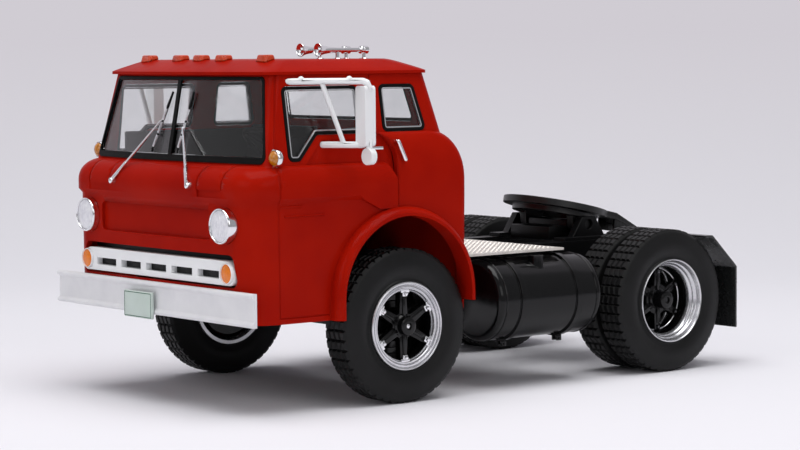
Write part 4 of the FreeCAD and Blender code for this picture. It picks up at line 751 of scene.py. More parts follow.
    def twin(self) -> None:
        """Add the mirror image across the truck's middle."""
        verts, faces = self.copied()
        bmesh.ops.scale(self.bm, vec=(1, -1, 1), verts=verts)
        bmesh.ops.reverse_faces(self.bm, faces=faces)

    def repeat(self, step: Triple, count: int) -> None:
        """Repeat everything so far along a line.

        Args:
            step: The way from one copy to the next.
            count: How many there are in the end.
        """
        pattern = self.everything()
        for index in range(1, count):
            made = bmesh.ops.duplicate(self.bm, geom=pattern)["geom"]
            verts = [g for g in made if isinstance(g, bmesh.types.BMVert)]
            bmesh.ops.translate(self.bm, verts=verts, vec=Vector(step) * index)

    def flipped(self, side: Side) -> "Shape":
        """Put a piece drawn on the left onto the given side.

        Args:
            side: The side it belongs to.

        Returns:
            This shape.
        """
        if side is Side.RIGHT:
            bmesh.ops.scale(self.bm, vec=(1, -1, 1), verts=self.bm.verts[:])
            bmesh.ops.reverse_faces(self.bm, faces=self.bm.faces[:])
        return self


class Workshop:
    """Sets finished meshes in the fixed frame and dresses the CAD nodes."""

    def __init__(self) -> None:
        """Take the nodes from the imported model."""
        self.nodes = frame["nodes"]
        self.count = 0

    def place(self, name: str, shape: Shape, finish: Finish, slot: Optional[str] = None,
              replaces: Sequence[str] = (), sharp: float = 32.0,
              body: Body = Body.TRACTOR) -> bpy.types.Object:
        """Turn a shape into a piece of the scene.

        Args:
            name: The piece's name.
            shape: The mesh in millimetres.
            finish: Its finish.
            slot: Not used.
            replaces: The CAD nodes that it stands for.
            sharp: The angle in degrees from which an edge stays sharp.
            body: The body that it rides on.

        Returns:
            The new object.
        """
        bm = shape.bm
        bmesh.ops.scale(bm, vec=(MM, MM, MM), verts=bm.verts[:])
        mesh = bpy.data.meshes.new(name)
        for face in bm.faces:
            face.smooth = True
        bm.to_mesh(mesh)
        bm.free()
        mesh.set_sharp_from_angle(angle=math.radians(sharp))
        mesh.materials.append(finish.material())
        piece = bpy.data.objects.new(name, mesh)
        bpy.context.scene.collection.objects.link(piece)
        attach(piece, body.value)
        if replaces:
            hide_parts(*replaces)
        self.count += 1
        log.info("%-28s %6d faces on %s", name, len(mesh.polygons), body.value)
        return piece

    def place_on(self, side: Side, name: str, shape: Shape, finish: Finish, slot: str,
                 node: str = "") -> None:
        """Place one of a pair of pieces on the cab or the chassis.

        Args:
            side: The side it sits on.
            name: The pair's name.
            shape: The piece, drawn on the left.
            finish: Its finish.
            slot: The name of a material slot, passed on to place.
            node: The CAD node of both, which the left one stands for, or nothing.
        """
        replaces = (node,) if node and side is Side.LEFT else ()
        self.place(f"{name}_{side.word}", shape.flipped(side), finish, slot, replaces)

    def box(self, node: str) -> tuple[Vector, Vector]:
        """Give a CAD node's box.

        Args:
            node: The CAD node.

        Returns:
            Its lowest and highest corners in millimetres.
        """
        low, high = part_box(node)
        return Vector(low) / MM, Vector(high) / MM

    def round_pair(self, node: str) -> tuple[Vector, float]:
        """Measure the left one of a mirrored pair of round pieces that face forward.

        Args:
            node: The CAD node that holds both.

        Returns:
            The middle of its front and its radius, in millimetres.
        """
        low, high = self.box(node)
        radius = (high.z - low.z) / 2
        return Vector((high.x, high.y - radius, low.z + radius)), radius

    def copied(self, node: str) -> Shape:
        """Copy a CAD node's mesh and merge its loose corners.

        Args:
            node: The CAD node.

        Returns:
            The copy, in millimetres.
        """
        shape = Shape()
        shape.bm.from_mesh(self.nodes[node].data)
        bmesh.ops.scale(shape.bm, vec=(1 / MM,) * 3, verts=shape.bm.verts[:])
        bmesh.ops.remove_doubles(shape.bm, verts=shape.bm.verts[:], dist=1e-3)
        return shape

    def pane_rings(self, node: str, width: float, proud: float) -> Shape:
        """Make thin frames that follow the outer edges of a pair of side panes.

        Args:
            node: The panes' CAD node.
            width: The frames' width.
            proud: How far they stand out from the panes.

        Returns:
            The frames.
        """
        shape = self.copied(node)
        bm = shape.bm
        outer = [f for f in bm.faces if abs(f.normal.y) > 0.8 and f.normal.y * f.calc_center_median().y > 0]
        bmesh.ops.delete(bm, geom=list(set(bm.faces) - set(outer)), context="FACES")
        ring = bmesh.ops.inset_region(bm, faces=bm.faces[:], thickness=width, use_boundary=True,
                                      use_even_offset=True)
        bmesh.ops.delete(bm, geom=list(set(bm.faces) - set(ring["faces"])), context="FACES")
        for vert in shape.extruded(bm.faces[:]):
            vert.co.y += math.copysign(proud, vert.co.y)
        bmesh.ops.recalc_face_normals(bm, faces=bm.faces[:])
        return shape

    def refined(self, node: str, finish: Finish, bevel: float = 0.1, segments: int = 2, angle: float = 28.0,
                body: Body = Body.TRACTOR) -> None:
        """Stand a smooth, edge-rounded copy in for a CAD node.

        Args:
            node: The CAD node.
            finish: Its finish.
            bevel: The rounding of its edges in millimetres, or 0 for none.
            segments: Steps across the rounding.
            angle: The angle in degrees from which an edge is rounded.
            body: The body that it rides on.
        """
        shape = self.copied(node)
        bmesh.ops.dissolve_limit(shape.bm, angle_limit=math.radians(0.6), verts=shape.bm.verts[:],
                                 edges=shape.bm.edges[:], delimit={"NORMAL"})
        piece = self.place(node + "_finished", shape, finish, replaces=(node,), sharp=angle, body=body)
        if bevel:
            rounding = piece.modifiers.new("edge_rounding", "BEVEL")
            rounding.width = bevel * MM
            rounding.segments = segments
            rounding.limit_method = "ANGLE"
            rounding.angle_limit = math.radians(angle)
            rounding.use_clamp_overlap = False
            rounding.harden_normals = True
        else:
            evened = piece.modifiers.new("even_shading", "WEIGHTED_NORMAL")
            evened.keep_sharp = True

    def dress(self, node: str, finish: Finish) -> None:
        """Give a CAD node that stays its finish.

        Args:
            node: The CAD node.
            finish: Its finish.
        """
        materials = self.nodes[node].data.materials
        materials.clear()
        materials.append(finish.material())
        log.info("%-28s keeps its CAD mesh, in %s", node, finish.name)


# Sub-assemblies


@dataclass
class Assembly:
    """A group of pieces that one workshop places."""

    shop: Workshop


@dataclass
class Cab(Assembly):
    """The painted casting with its seals, panes and bright window trims."""

    trim_width: float = 0.2
    trim_proud: float = 0.29
    seal_round: float = 0.05

    def build(self) -> None:
        """Make the casting, the seals, the panes and the trims."""
        self.shop.refined("cab_shell", Palette.red, 0.0)
        for node in ("windscreen_seal", "door_window_seals", "quarter_window_seals", "rear_window_seal"):
            self.shop.refined(node, Palette.gasket, self.seal_round)
        for node in ("windscreen_glass", "door_glass", "quarter_glass", "rear_glass"):
            self.shop.dress(node, Palette.clear)
        for node in ("door_glass", "quarter_glass"):
            trims = self.shop.pane_rings(node, self.trim_width, self.trim_proud)
            self.shop.place(node.replace("glass", "trims"), trims, Palette.trim, "bright_metal")


@dataclass
class Nose(Assembly):
    """Lamps, grille bar, bumper and the blank number plate."""

    ring_steps: Outline = ((0, -2.0), (0, -0.3), (-0.04, -0.13), (-0.12, -0.03), (-0.2, 0), (-0.27, -0.05),
                           (-0.32, -0.16), (-0.36, -0.4), (-0.5, -2.0))
    ring_wall: float = 0.36
    dome_rows: int = 14
    dome_height: float = 0.42
    dome_sink: float = 0.27
    flute_pitch: float = 0.42
    flute_depth: float = 0.06
    fluted_share: float = 0.92
    signal_growth: float = 0.2
    signal_rim: float = 0.16
    signal_steps: Outline = ((0, -0.45), (0, -0.14), (-0.05, -0.04), (-0.12, 0), (-0.12, -0.04),
                             (-0.16, -0.14), (-0.16, -0.45))
    signal_rows: int = 8
    signal_sink: float = 0.02
    signal_fall: float = 0.2
    slots: int = 5
    slot_pitch: float = 7.3
    slot_width: float = 5.8
    slot_height: float = 1.15
    slot_drop: float = 0.35
    # The dark blocks in the slots and the dark sheet behind the opening are painted shade.
    slot_depth: float = 1.1
    slot_lap: float = 0.1
    back_round: float = 0.05
    bar_taper: float = 0.9
    bar_corner: float = 1.2
    bar_end_margin: float = 0.5
    bar_round: float = 0.11
    bar_edge_angle: float = 60.0
    baffle_gap: float = 0.5
    baffle_thickness: float = 0.4
    baffle_inset: float = 0.6
    baffle_drop: float = 0.2
    baffle_reach: float = 2.0
    baffle_round: float = 0.1
    bead: float = 0.95
    bead_recess: float = 0.5
    bead_round: float = 0.3
    bead_lean: float = 0.03
    bead_slope: float = 0.4
    bumper_round: float = 0.04
    plate_round: float = 0.16
    border_inset: float = 0.16
    border_width: float = 0.11
    border_proud: float = 0.03
    border_lap: float = 0.05
    border_round: float = 0.01

    def headlamp(self, side: Side) -> None:
        """Make one headlamp: bright ring and fluted lens.

        Args:
            side: The side it sits on.
        """
        centre, r = self.shop.round_pair("headlamp_bezels")
        ring, lens = Shape(), Shape()
        ring.turned(stepped((r, 0), self.ring_steps), centre, FORWARD, steps=96, closed=True)
        self.shop.place_on(side, "headlamp_ring", ring, Palette.chrome, "bright_metal", "headlamp_bezels")
        edge = r - self.ring_wall
        profile = [(edge * share, self.dome_height * (1 - share ** 2) - self.dome_sink)
                   for share in shares(self.dome_rows)]
        for vert in lens.turned(profile, centre, FORWARD, steps=96):
            out = Vector((0, vert.co.y - centre.y, vert.co.z - centre.z))
            fade = 1 - min(1.0, out.length / (edge * self.fluted_share)) ** 6
            wave = (1 + math.cos(FULL_TURN * out.y / self.flute_pitch)) / 2
            vert.co.x -= self.flute_depth * fade * wave
        bmesh.ops.recalc_face_normals(lens.bm, faces=lens.bm.faces[:])
        self.shop.place_on(side, "headlamp_lens", lens, Palette.lamp, "lamp_lens", "headlamp_lenses")

    def signal(self, side: Side) -> None:
        """Make one turn signal: pale rim and orange dome.

        Args:
            side: The side it sits on.
        """
        centre, r = self.shop.round_pair("turn_signals")
        r += self.signal_growth
        inner = r - self.signal_rim
        rim, dome = Shape(), Shape()
        rim.turned(stepped((r, 0), self.signal_steps), centre, FORWARD, closed=True)
        self.shop.place_on(side, "turn_signal_rim", rim, Palette.white, "white_moulding", "turn_signals")
        profile = [(inner * share, -self.signal_sink - self.signal_fall * share ** 2)
                   for share in shares(self.signal_rows)]
        dome.turned(profile, centre, FORWARD)
        self.shop.place_on(side, "turn_signal_dome", dome, Palette.orange, "orange_lens")

    def slot_spans(self) -> list[Pair]:
        """The two ends of each slot across the truck, in order."""
        middles = [(index - (self.slots - 1) / 2) * self.slot_pitch for index in range(self.slots)]
        return [(y - self.slot_width / 2, y + self.slot_width / 2) for y in middles]

    def bar_mesh(self, low: Vector, high: Vector) -> Shape:
        """Make the bar: a pierced grid given its thickness, with rounded ends.

        Args:
            low: The lowest corner of its CAD node.
            high: The highest corner of its CAD node.

        Returns:
            The bar.
        """
        shape = Shape()
        bm = shape.bm
        middle = (low.z + high.z) / 2 - self.slot_drop
        ys = [low.y] + [y for span in self.slot_spans() for y in span] + [high.y]
        zs = [low.z, middle - self.slot_height / 2, middle + self.slot_height / 2, high.z]
        grid = [[bm.verts.new((high.x, y, z)) for y in ys] for z in zs]
        for row, (below, above) in enumerate(zip(grid, grid[1:])):
            for column in range(len(ys) - 1):
                if row != 1 or column % 2 == 0:
                    bm.faces.new((below[column], below[column + 1], above[column + 1], above[column]))
        for vert in (grid[-1][0], grid[-1][-1]):
            vert.co.y -= math.copysign(self.bar_taper, vert.co.y)
        bmesh.ops.translate(bm, verts=shape.extruded(bm.faces[:]), vec=(low.x - high.x, 0, 0))
        bmesh.ops.recalc_face_normals(bm, faces=bm.faces[:])
        half = (high.x - low.x) / 2
        through = [e for e in bm.edges if abs(e.verts[0].co.x - e.verts[1].co.x) > half]
        corners = [e for e in through if abs(e.verts[0].co.y) > ys[-2] + self.bar_end_margin
                   and e.verts[0].co.z in (zs[0], zs[-1])]
        shape.rounded(corners, self.bar_corner, 6)
        sharp = math.radians(self.bar_edge_angle)
        rims = [e for e in bm.edges if len(e.link_faces) == 2 and e.calc_face_angle() > sharp]
        shape.rounded(rims, self.bar_round, 3)
        return shape

    def grille(self) -> None:
        """Make the slotted bar, with dark blocks in each slot and a dark sheet behind the opening as painted
        shade.
        """
        low, high = self.shop.box("grille_bar")
        self.shop.place("grille_bar_pierced", self.bar_mesh(low, high), Palette.white, "white_moulding",
                        ("grille_bar",))
        # Dark blocks set in the slots and a dark sheet behind the opening paint the shade inside the grille.
        shade_blocks = Shape()
        z = (low.z + high.z) / 2 - self.slot_drop
        lap, half = self.slot_lap, self.slot_height / 2 + self.slot_lap
        for start, end in self.slot_spans():
            shade_blocks.block((low.x - lap, start - lap, z - half),
                        (high.x - self.slot_depth, end + lap, z + half), self.back_round)
        rear_x, inset = low.x - self.baffle_gap, self.baffle_inset
        shade_blocks.block((rear_x - self.baffle_thickness, low.y + inset, low.z - self.baffle_drop),
                    (rear_x, high.y - inset, high.z + self.baffle_reach), self.baffle_round)
        self.shop.place("grille_slot_backs", shade_blocks, Palette.black, "black_moulding")

    def bumper(self) -> None:
        """Make the bumper with a rolled bead along each edge of its sunk face."""
        low, high = self.shop.box("bumper")
        front, r = high.x, self.bead_round
        half = ((front - r, 0.0), (front - r * 0.3, r * 0.3), (front, r),
                (front - self.bead_lean, self.bead - self.bead_slope), (front - self.bead_recess, self.bead))
        section = [(low.x, low.z)] + [(x, low.z + rise) for x, rise in half]
        section += [(x, high.z - rise) for x, rise in reversed(half)] + [(low.x, high.z)]
        shape = Shape()
        shape.prism([(x, low.y, z) for x, z in section], (0, high.y - low.y, 0), self.bumper_round)
        self.shop.place("bumper_rolled", shape, Palette.bumper, "white_moulding", ("bumper",), sharp=16.0)

    def number_plate(self) -> None:
        """Make the blank plate and the thin dark line round it."""
        low, high = self.shop.box("number_plate")
        face_x = high.x - self.border_proud
        plate, border = Shape(), Shape()
        plate.block(low, (face_x, high.y, high.z), self.plate_round, 3)
        self.shop.place("number_plate_blank", plate, Palette.plate, "plate_plastic", ("number_plate",))
        d, w = self.border_inset, self.border_width
        y0, y1, z0, z1 = low.y + d, high.y - d, low.z + d, high.z - d
        runs = (((y0, z0), (y1, z0 + w)), ((y0, z1 - w), (y1, z1)), ((y0, z0), (y0 + w, z1)),
                ((y1 - w, z0), (y1, z1)))
        for first, last in runs:
            border.block((face_x - self.border_lap, *first), (high.x, *last), self.border_round, 1)
        self.shop.place("number_plate_border", border, Palette.plate_line, "plate_plastic")

    def build(self) -> None:
        """Make everything on the nose."""
        for side in Side:
            self.headlamp(side)
            self.signal(side)
        self.grille()
        self.bumper()
        self.number_plate()


@dataclass
class Wiper:
    """One parked wiper: domed boss, arm with its spring housing, claws and rubber."""

    boss: Triple
    low: Triple
    high: Triple
    meeting_share: float
    boss_radius: float = 0.5
    boss_section: Outline = ((0, 0), (0.5, -0.02), (0.86, -0.12), (1, -0.3), (1, -1.3), (0, -1.3))
    arm_width: float = 0.5
    arm_lift: float = 0.3
    tip_width: float = 0.34
    thickness: float = 0.24
    housing_share: float = 0.3
    housing_extra_width: float = 0.12
    housing_extra_thickness: float = 0.16
    claw_width: float = 0.52
    claw_thickness: float = 0.3
    claw_round: float = 0.08
    claws: Outline = ((0.08, 0.28), (0.31, 0.5), (0.53, 0.72))
    rubber_thickness: float = 0.2
    cover_thickness: float = 0.26
    cover_share: float = 0.74

    def metal(self, shape: Shape) -> None:
        """Add the bright parts.

        Args:
            shape: The mesh that they are added to.
        """
        shape.turned(swelled(self.boss_radius, self.boss_section), self.boss, FORWARD, 32)
        low, high, lift = Vector(self.low), Vector(self.high), Vector(FORWARD) * self.arm_lift
        start, meet = Vector(self.boss) - lift, low.lerp(high, self.meeting_share) + lift
        shape.strip(start, meet, self.arm_width, self.thickness, self.tip_width)
        shape.strip(start, start.lerp(meet, self.housing_share), self.arm_width + self.housing_extra_width,
                    self.thickness + self.housing_extra_thickness, self.arm_width)
        for first, last in self.claws:
            shape.strip(low.lerp(high, first), low.lerp(high, last), self.claw_width, self.claw_thickness,
                        bevel=self.claw_round)

    def rubber(self, shape: Shape) -> None:
        """Add the rubber edge and the tapered cover of its upper end.

        Args:
            shape: The mesh that it is added to.
        """
        low, high = Vector(self.low), Vector(self.high)
        shape.strip(low, high, self.claw_width * 0.8, self.rubber_thickness)
        shape.strip(low.lerp(high, self.cover_share), high, self.claw_width * 1.1, self.cover_thickness,
                    self.claw_width * 0.5)


@dataclass
class Horns(Assembly):
    """Two bright trumpets on flanged posts, tied at the rear."""

    ys: Pair = (7.3, 12.0)
    bell_radius: float = 1.1
    bell_section: Outline = ((0, -1.5), (0.3, -1.3), (0.48, -0.8), (0.7, -0.3), (0.89, -0.03), (0.96, 0),
                             (1, -0.06), (0.98, -0.15), (0.87, -0.36), (0.73, -0.76), (0.6, -1.3),
                             (0.49, -2.1), (0.41, -3.1))
    tube_radius: float = 0.36
    tube_steps: Outline = ((0.03, -4.2), (0, -5.5))
    length: float = 10.0
    can_steps: Outline = ((0, 1.65), (0.14, 1.55), (0.26, 1.5), (0.29, 1.4), (0.29, 1.2), (0.2, 1.14),
                          (0.2, 1.0), (0.29, 0.94), (0.29, 0.16), (0.19, 0.02))
    tie_share: float = 0.8
    post_places: Pair = (0.75, 6.1)
    post_radius: float = 0.32
    foot_drop: float = 1.7
    foot_section: Outline = ((0, 0), (0.75, 0), (0.75, 0.32), (0.66, 0.42), (0.4, 0.46), (0, 0.46))

    def build(self) -> None:
        """Make both horns as one piece."""
        low, high = self.shop.box("air_horns")
        z, tube = high.z - self.bell_radius, self.tube_radius
        profile = swelled(self.bell_radius, self.bell_section) + stepped((tube, 0), self.tube_steps)
        profile += stepped((tube, -self.length), self.can_steps) + [(0, -self.length)]
        shape = Shape()
        for y in self.ys:
            shape.turned(profile, (high.x, y, z), FORWARD, 40)
            for place in self.post_places:
                foot = (low.x + place, y, z - self.foot_drop)
                shape.rod(foot, (low.x + place, y, z), self.post_radius)
                shape.turned(self.foot_section, foot, UPWARD, 28)
        tie_x = low.x + self.post_places[0]
        shape.rod((tie_x, self.ys[0], z), (tie_x, self.ys[1], z), tube * self.tie_share)
        self.shop.place("air_horns_plated", shape, Palette.chrome, "bright_metal", ("air_horns",))


@dataclass
class Furniture(Assembly):
    """Lamps, horns, wipers, handles and mirrors on the cab."""

    corner_radius: float = 1.4
    corner_dome: float = 0.6
    corner_cone: Outline = ((0, -1.5), (0.55, -1.5), (0.7, -1.36))
    corner_ring_steps: Outline = ((-0.05, -0.72), (0, -0.6), (0, -0.14), (-0.06, -0.02), (-0.18, 0.03),
                                  (-0.26, -0.05), (-0.28, -0.3))
    corner_back: float = -0.3
    corner_rows: int = 9
    dome_inset: float = 0.27
    dome_sink: float = 0.12
    stem_radius: float = 0.42
    stem_setback: float = 0.35
    stem_foot_rise: float = 0.2
    stem_lap: float = 0.3
    lock_place: Triple = (22.9, 25.97, 34.4)
    lock_section: Outline = ((0, 0), (0.14, 0), (0.16, 0.05), (0.3, 0.04), (0.36, -0.04), (0.36, -0.5),
                             (0, -0.5))
    handle_round: float = 0.05
    marker_round: float = 0.24
    mirror_round: float = 0.06
    glass_inset: float = 0.32
    glass_proud: float = 0.06
    glass_depth: float = 0.1
    glass_round: float = 0.04
    round_mirror_radius: float = 1.3
    round_mirror_wall: float = 0.2
    round_mirror_setback: float = 0.45
    round_mirror_drop: float = 1.5
    head_y: float = 29.3
    head_half: float = 1.25
    head_top_drop: float = 1.2
    head_foot_rise: float = 2.8
    wipers: tuple[Wiper, ...] = (
        Wiper((51.7, -10.9, 34.75), (47.13, -5.4, 39.4), (45.42, -1.5, 48.9), 0.53),
        Wiper((51.7, 10.9, 34.75), (47.22, 2.0, 39.4), (45.36, 4.3, 48.9), 0.42),
    )

    def corner_lamp(self, side: Side) -> None:
        """Make one corner lamp: bright cone, ring and stem, with an amber dome.

        Args:
            side: The side it sits on.
        """
        low, high = self.shop.box("corner_lamps")
        r = self.corner_radius
        centre = Vector((high.x - self.corner_dome, high.y - r, high.z - r))
        body, dome = Shape(), Shape()
        profile = list(self.corner_cone) + stepped((r, 0), self.corner_ring_steps) + [(0, self.corner_back)]
        body.turned(profile, centre, FORWARD, 56)
        stem_x = centre.x - self.stem_setback
        body.rod((stem_x, centre.y - self.stem_setback, low.z + self.stem_foot_rise),
                 (stem_x, centre.y, centre.z - r + self.stem_lap), self.stem_radius)
        self.shop.place_on(side, "corner_lamp_body", body, Palette.chrome, "bright_metal", "corner_lamps")
        edge, height = r - self.dome_inset, self.corner_dome + self.dome_sink
        angles = [QUARTER_TURN * share for share in shares(self.corner_rows)]
        dome.turned([(edge * math.sin(a), height * math.cos(a) - self.dome_sink) for a in angles],
                    centre, FORWARD, 56)
        self.shop.place_on(side, "corner_lamp_dome", dome, Palette.amber, "amber_lamp")

    def mirror_glasses(self, side: Side) -> None:
        """Set the glasses in the rear faces of one mirror's two heads.

        Args:
            side: The side they sit on.
        """
        low, high = self.shop.box("mirror_left")
        x, y, half = low.x, self.head_y, self.head_half - self.glass_inset
        top_z, foot_z = high.z - self.head_top_drop, low.z + self.head_foot_rise
        proud, depth = self.glass_proud, self.glass_depth
        glass = Shape()
        glass.block((x - proud, y - half, foot_z + self.glass_inset),
                    (x + depth, y + half, top_z - self.glass_inset), self.glass_round)
        r = self.round_mirror_radius - self.round_mirror_wall
        centre = (x + self.round_mirror_setback, high.y - self.round_mirror_radius,
                  foot_z - self.round_mirror_drop)
        glass.turned(((0, -proud), (r - depth, -proud), (r, 0), (r, depth), (0, depth)), centre, FORWARD, 40)
        self.shop.place_on(side, "mirror_glass", glass, Palette.mirror, "bright_metal")

    def door_fittings(self) -> None:
        """Make the round lock of each door."""
        locks = Shape()
        locks.turned(self.lock_section, self.lock_place, LEFTWARD, 32)
        locks.twin()
        self.shop.place("door_locks", locks, Palette.chrome, "bright_metal")

    def build(self) -> None:
        """Make the cab's small pieces."""
        metal, rubber = Shape(), Shape()
        for wiper in self.wipers:
            wiper.metal(metal)
            wiper.rubber(rubber)
        self.shop.place("wipers_bright", metal, Palette.trim, "bright_metal", ("wipers",))
        self.shop.place("wiper_rubbers", rubber, Palette.gasket, "window_rubber")
        self.shop.refined("roof_markers", Palette.marker, self.marker_round, 3)
        Horns(self.shop).build()
        self.shop.refined("door_handles", Palette.chrome, self.handle_round)
        self.shop.refined("grab_handles", Palette.chrome, 0.0)
        self.door_fittings()
        for side in Side:
            self.corner_lamp(side)
            self.shop.refined(f"mirror_{side.word}", Palette.white, self.mirror_round)
            self.mirror_glasses(side)


@dataclass
class Interior(Assembly):
    """The dark moulding inside the cab."""

    cushion_round: float = 0.25

    def build(self) -> None:
        """Make the floor, seats, dashboard and steering wheel."""
        self.shop.refined("cab_interior", Palette.interior, self.cushion_round)
        self.shop.refined("steering_wheel", Palette.interior, 0.0)


@dataclass
class Chassis(Assembly):
    """Frame, axles, tanks, tread plate, flaps and tail lamps."""

    plain: tuple[str, ...] = ("chassis_frame", "engine_block", "front_axle_beam", "rear_axle_housing",
                              "springs", "propshaft", "fifth_wheel_pedestals")
    casting_round: float = 0.08
    turned_round: float = 0.1
    sheet_round: float = 0.05
    flap_round: float = 0.12
    lozenge_pitch: float = 0.52
    lozenge_length: float = 0.25
    lozenge_width: float = 0.09
    lozenge_height: float = 0.05
    lozenge_top_share: float = 0.55
    lozenge_sink: float = 0.01
    plate_margin: float = 0.55
    bridge_half_width: float = 5.1
    bridge_half_lengths: Pair = (5.6, 1.4)
    bridge_rises: Pair = (2.3, 3.3)
    bridge_sink: float = 0.1
    bridge_round: float = 0.2
    tank_radius: float = 6.7
    tank_clearance: float = 0.3
    seam_inset: float = 1.5
    seam_steps: Outline = ((-0.05, -0.14), (0.05, -0.1), (0.09, 0), (0.05, 0.1), (-0.05, 0.14))
    strap_shares: Pair = (0.225, 0.762)
    lug_places: Pair = (0.5, 1.5)
    lug_half_length: float = 0.5
    lug_half_width: float = 0.2
    lug_drop: float = 0.75
    lug_rise: float = 0.35
    bolt_ends: Pair = (0.1, 1.9)
    bolt_drop: float = 0.4
    bolt_radius: float = 0.2

    def tread_plate(self) -> None:
        """Make the plate and its raised lozenges, turned alternately."""
        self.shop.refined("catwalk_plate", Palette.tread, self.sheet_round)
        low, high = self.shop.box("catwalk_plate")
        shape, pitch = Shape(), self.lozenge_pitch
        rows, columns = (int((size - 2 * self.plate_margin) / pitch) for size in (high - low).xy)
        start_x = (low.x + high.x - (rows - 1) * pitch) / 2
        start_y = (low.y + high.y - (columns - 1) * pitch) / 2
        form = Matrix.Diagonal((self.lozenge_length, self.lozenge_width, 1.0, 1.0))
        z = high.z + self.lozenge_height / 2 - self.lozenge_sink
        for row, column in ((0, 0), (0, 1), (1, 0), (1, 1)):
            turn = Matrix.Rotation(math.radians(45 if (row + column) % 2 else -45), 4, "Z")
            place = Matrix.Translation((start_x + row * pitch, start_y + column * pitch, z))
            bmesh.ops.create_cone(shape.bm, cap_ends=True, segments=6, radius1=1.0,
                                  radius2=self.lozenge_top_share, depth=self.lozenge_height,
                                  matrix=place @ turn @ form)
        shape.repeat((0, 2 * pitch, 0), columns // 2)
        shape.repeat((2 * pitch, 0, 0), rows // 2)
        self.shop.place("catwalk_lozenges", shape, Palette.tread, "bright_metal")

    def tank_fittings(self, side: Side) -> None:
        """Add a tank's end seams and the strap lugs with their bolts below.

        Args:
            side: The side it sits on.
        """
        low, high = self.shop.box("fuel_tank_left")
        reach = self.tank_radius + self.tank_clearance
        y, z = high.y - reach, low.z + reach
        shape = Shape()
        for x in (low.x + self.seam_inset, high.x - self.seam_inset):
            seam = stepped((self.tank_radius, 0), self.seam_steps)
            shape.turned(seam, (x, y, z), FORWARD, 96, closed=True)
        for share in self.strap_shares:
            x = high.x + (low.x - high.x) * share
            for middle in (y + place for place in self.lug_places):
                lug_low = (x - self.lug_half_length, middle - self.lug_half_width, low.z - self.lug_drop)
                lug_high = (x + self.lug_half_length, middle + self.lug_half_width, low.z + self.lug_rise)
                shape.block(lug_low, lug_high, self.casting_round)
            start, end = ((x, y + end, low.z - self.bolt_drop) for end in self.bolt_ends)
            shape.rod(start, end, self.bolt_radius, sides=6)
        self.shop.place_on(side, "tank_fittings", shape, Palette.gloss_black, "tank_black")

    def bridge(self) -> None:
        """Join the two pedestals with a low bridge and a web below the plate's pivot."""
        low, high = self.shop.box("fifth_wheel_pedestals")
        x, half = (low.x + high.x) / 2, self.bridge_half_width
        shape = Shape()
        for length, rise in zip(self.bridge_half_lengths, self.bridge_rises):
            shape.block((x - length, -half, low.z - self.bridge_sink), (x + length, half, low.z + rise),
                        self.bridge_round)
        self.shop.place("pedestal_bridge", shape, Palette.black, "black_moulding")

    def build(self) -> None:
        """Make the chassis."""
        for node in self.plain:
            self.shop.refined(node, Palette.black, self.casting_round)
        self.bridge()
        self.shop.refined("axle_pins", Palette.pin, self.turned_round)
        self.tread_plate()
        self.shop.refined("tail_lamps", Palette.tail, self.turned_round)
        for side in Side:
            self.shop.refined(f"fuel_tank_{side.word}", Palette.gloss_black, self.turned_round)
            self.tank_fittings(side)
            self.shop.refined(f"mudflap_{side.word}", Palette.flap, self.flap_round, 3)


@dataclass
class FifthWheel(Assembly):
    """The coupling plate and the stiffening skirts below its ramps."""

    plate_round: float = 0.12
    skirt_ys: Pair = (3.15, 7.05)
    skirt_thickness: float = 0.5
    skirt_round: float = 0.08
    skirt_outline: Outline = ((-7.7, 2.2), (-14.3, 0.95), (-13.9, 0.55), (-7.9, 0.1))

    def ramp_skirts(self) -> None:
        """Make the skirts, drawn level about the pivot and tipped with the plate."""
        (pivot_x, pivot_z), tilt = DRIVE.pivot, math.radians(DRIVE.rest_tilt)
        c, s = math.cos(tilt), math.sin(tilt)
        corners = [(pivot_x + x * c - z * s, pivot_z + x * s + z * c) for x, z in self.skirt_outline]
        shape = Shape()
        for y in self.skirt_ys:
            shape.prism([(x, y, z) for x, z in corners], (0, self.skirt_thickness, 0), self.skirt_round)
        shape.twin()
        self.shop.place("ramp_skirts", shape, Palette.greased, "black_moulding", body=Body.FIFTH_WHEEL)

    def build(self) -> None:
        """Make the plate."""
        self.shop.refined("fifth_wheel_plate", Palette.greased, self.plate_round, body=Body.FIFTH_WHEEL)
        self.ramp_skirts()


class Dish(Enum):
    """How deep a rim is on its outer side."""

    SHALLOW = "front"
    DEEP = "rear"


@dataclass(frozen=True)
class RimSection:
    """The section of a rolled rim and its lining, as radius and place towards the outside."""

    lip: Outline
    face: Outline
    wall: Outline
    ring: Outline
    back: Outline = ((5.9, -1.9), (6.5, -3.0), (7.06, -3.0), (7.12, -2.72), (6.8, -2.62))


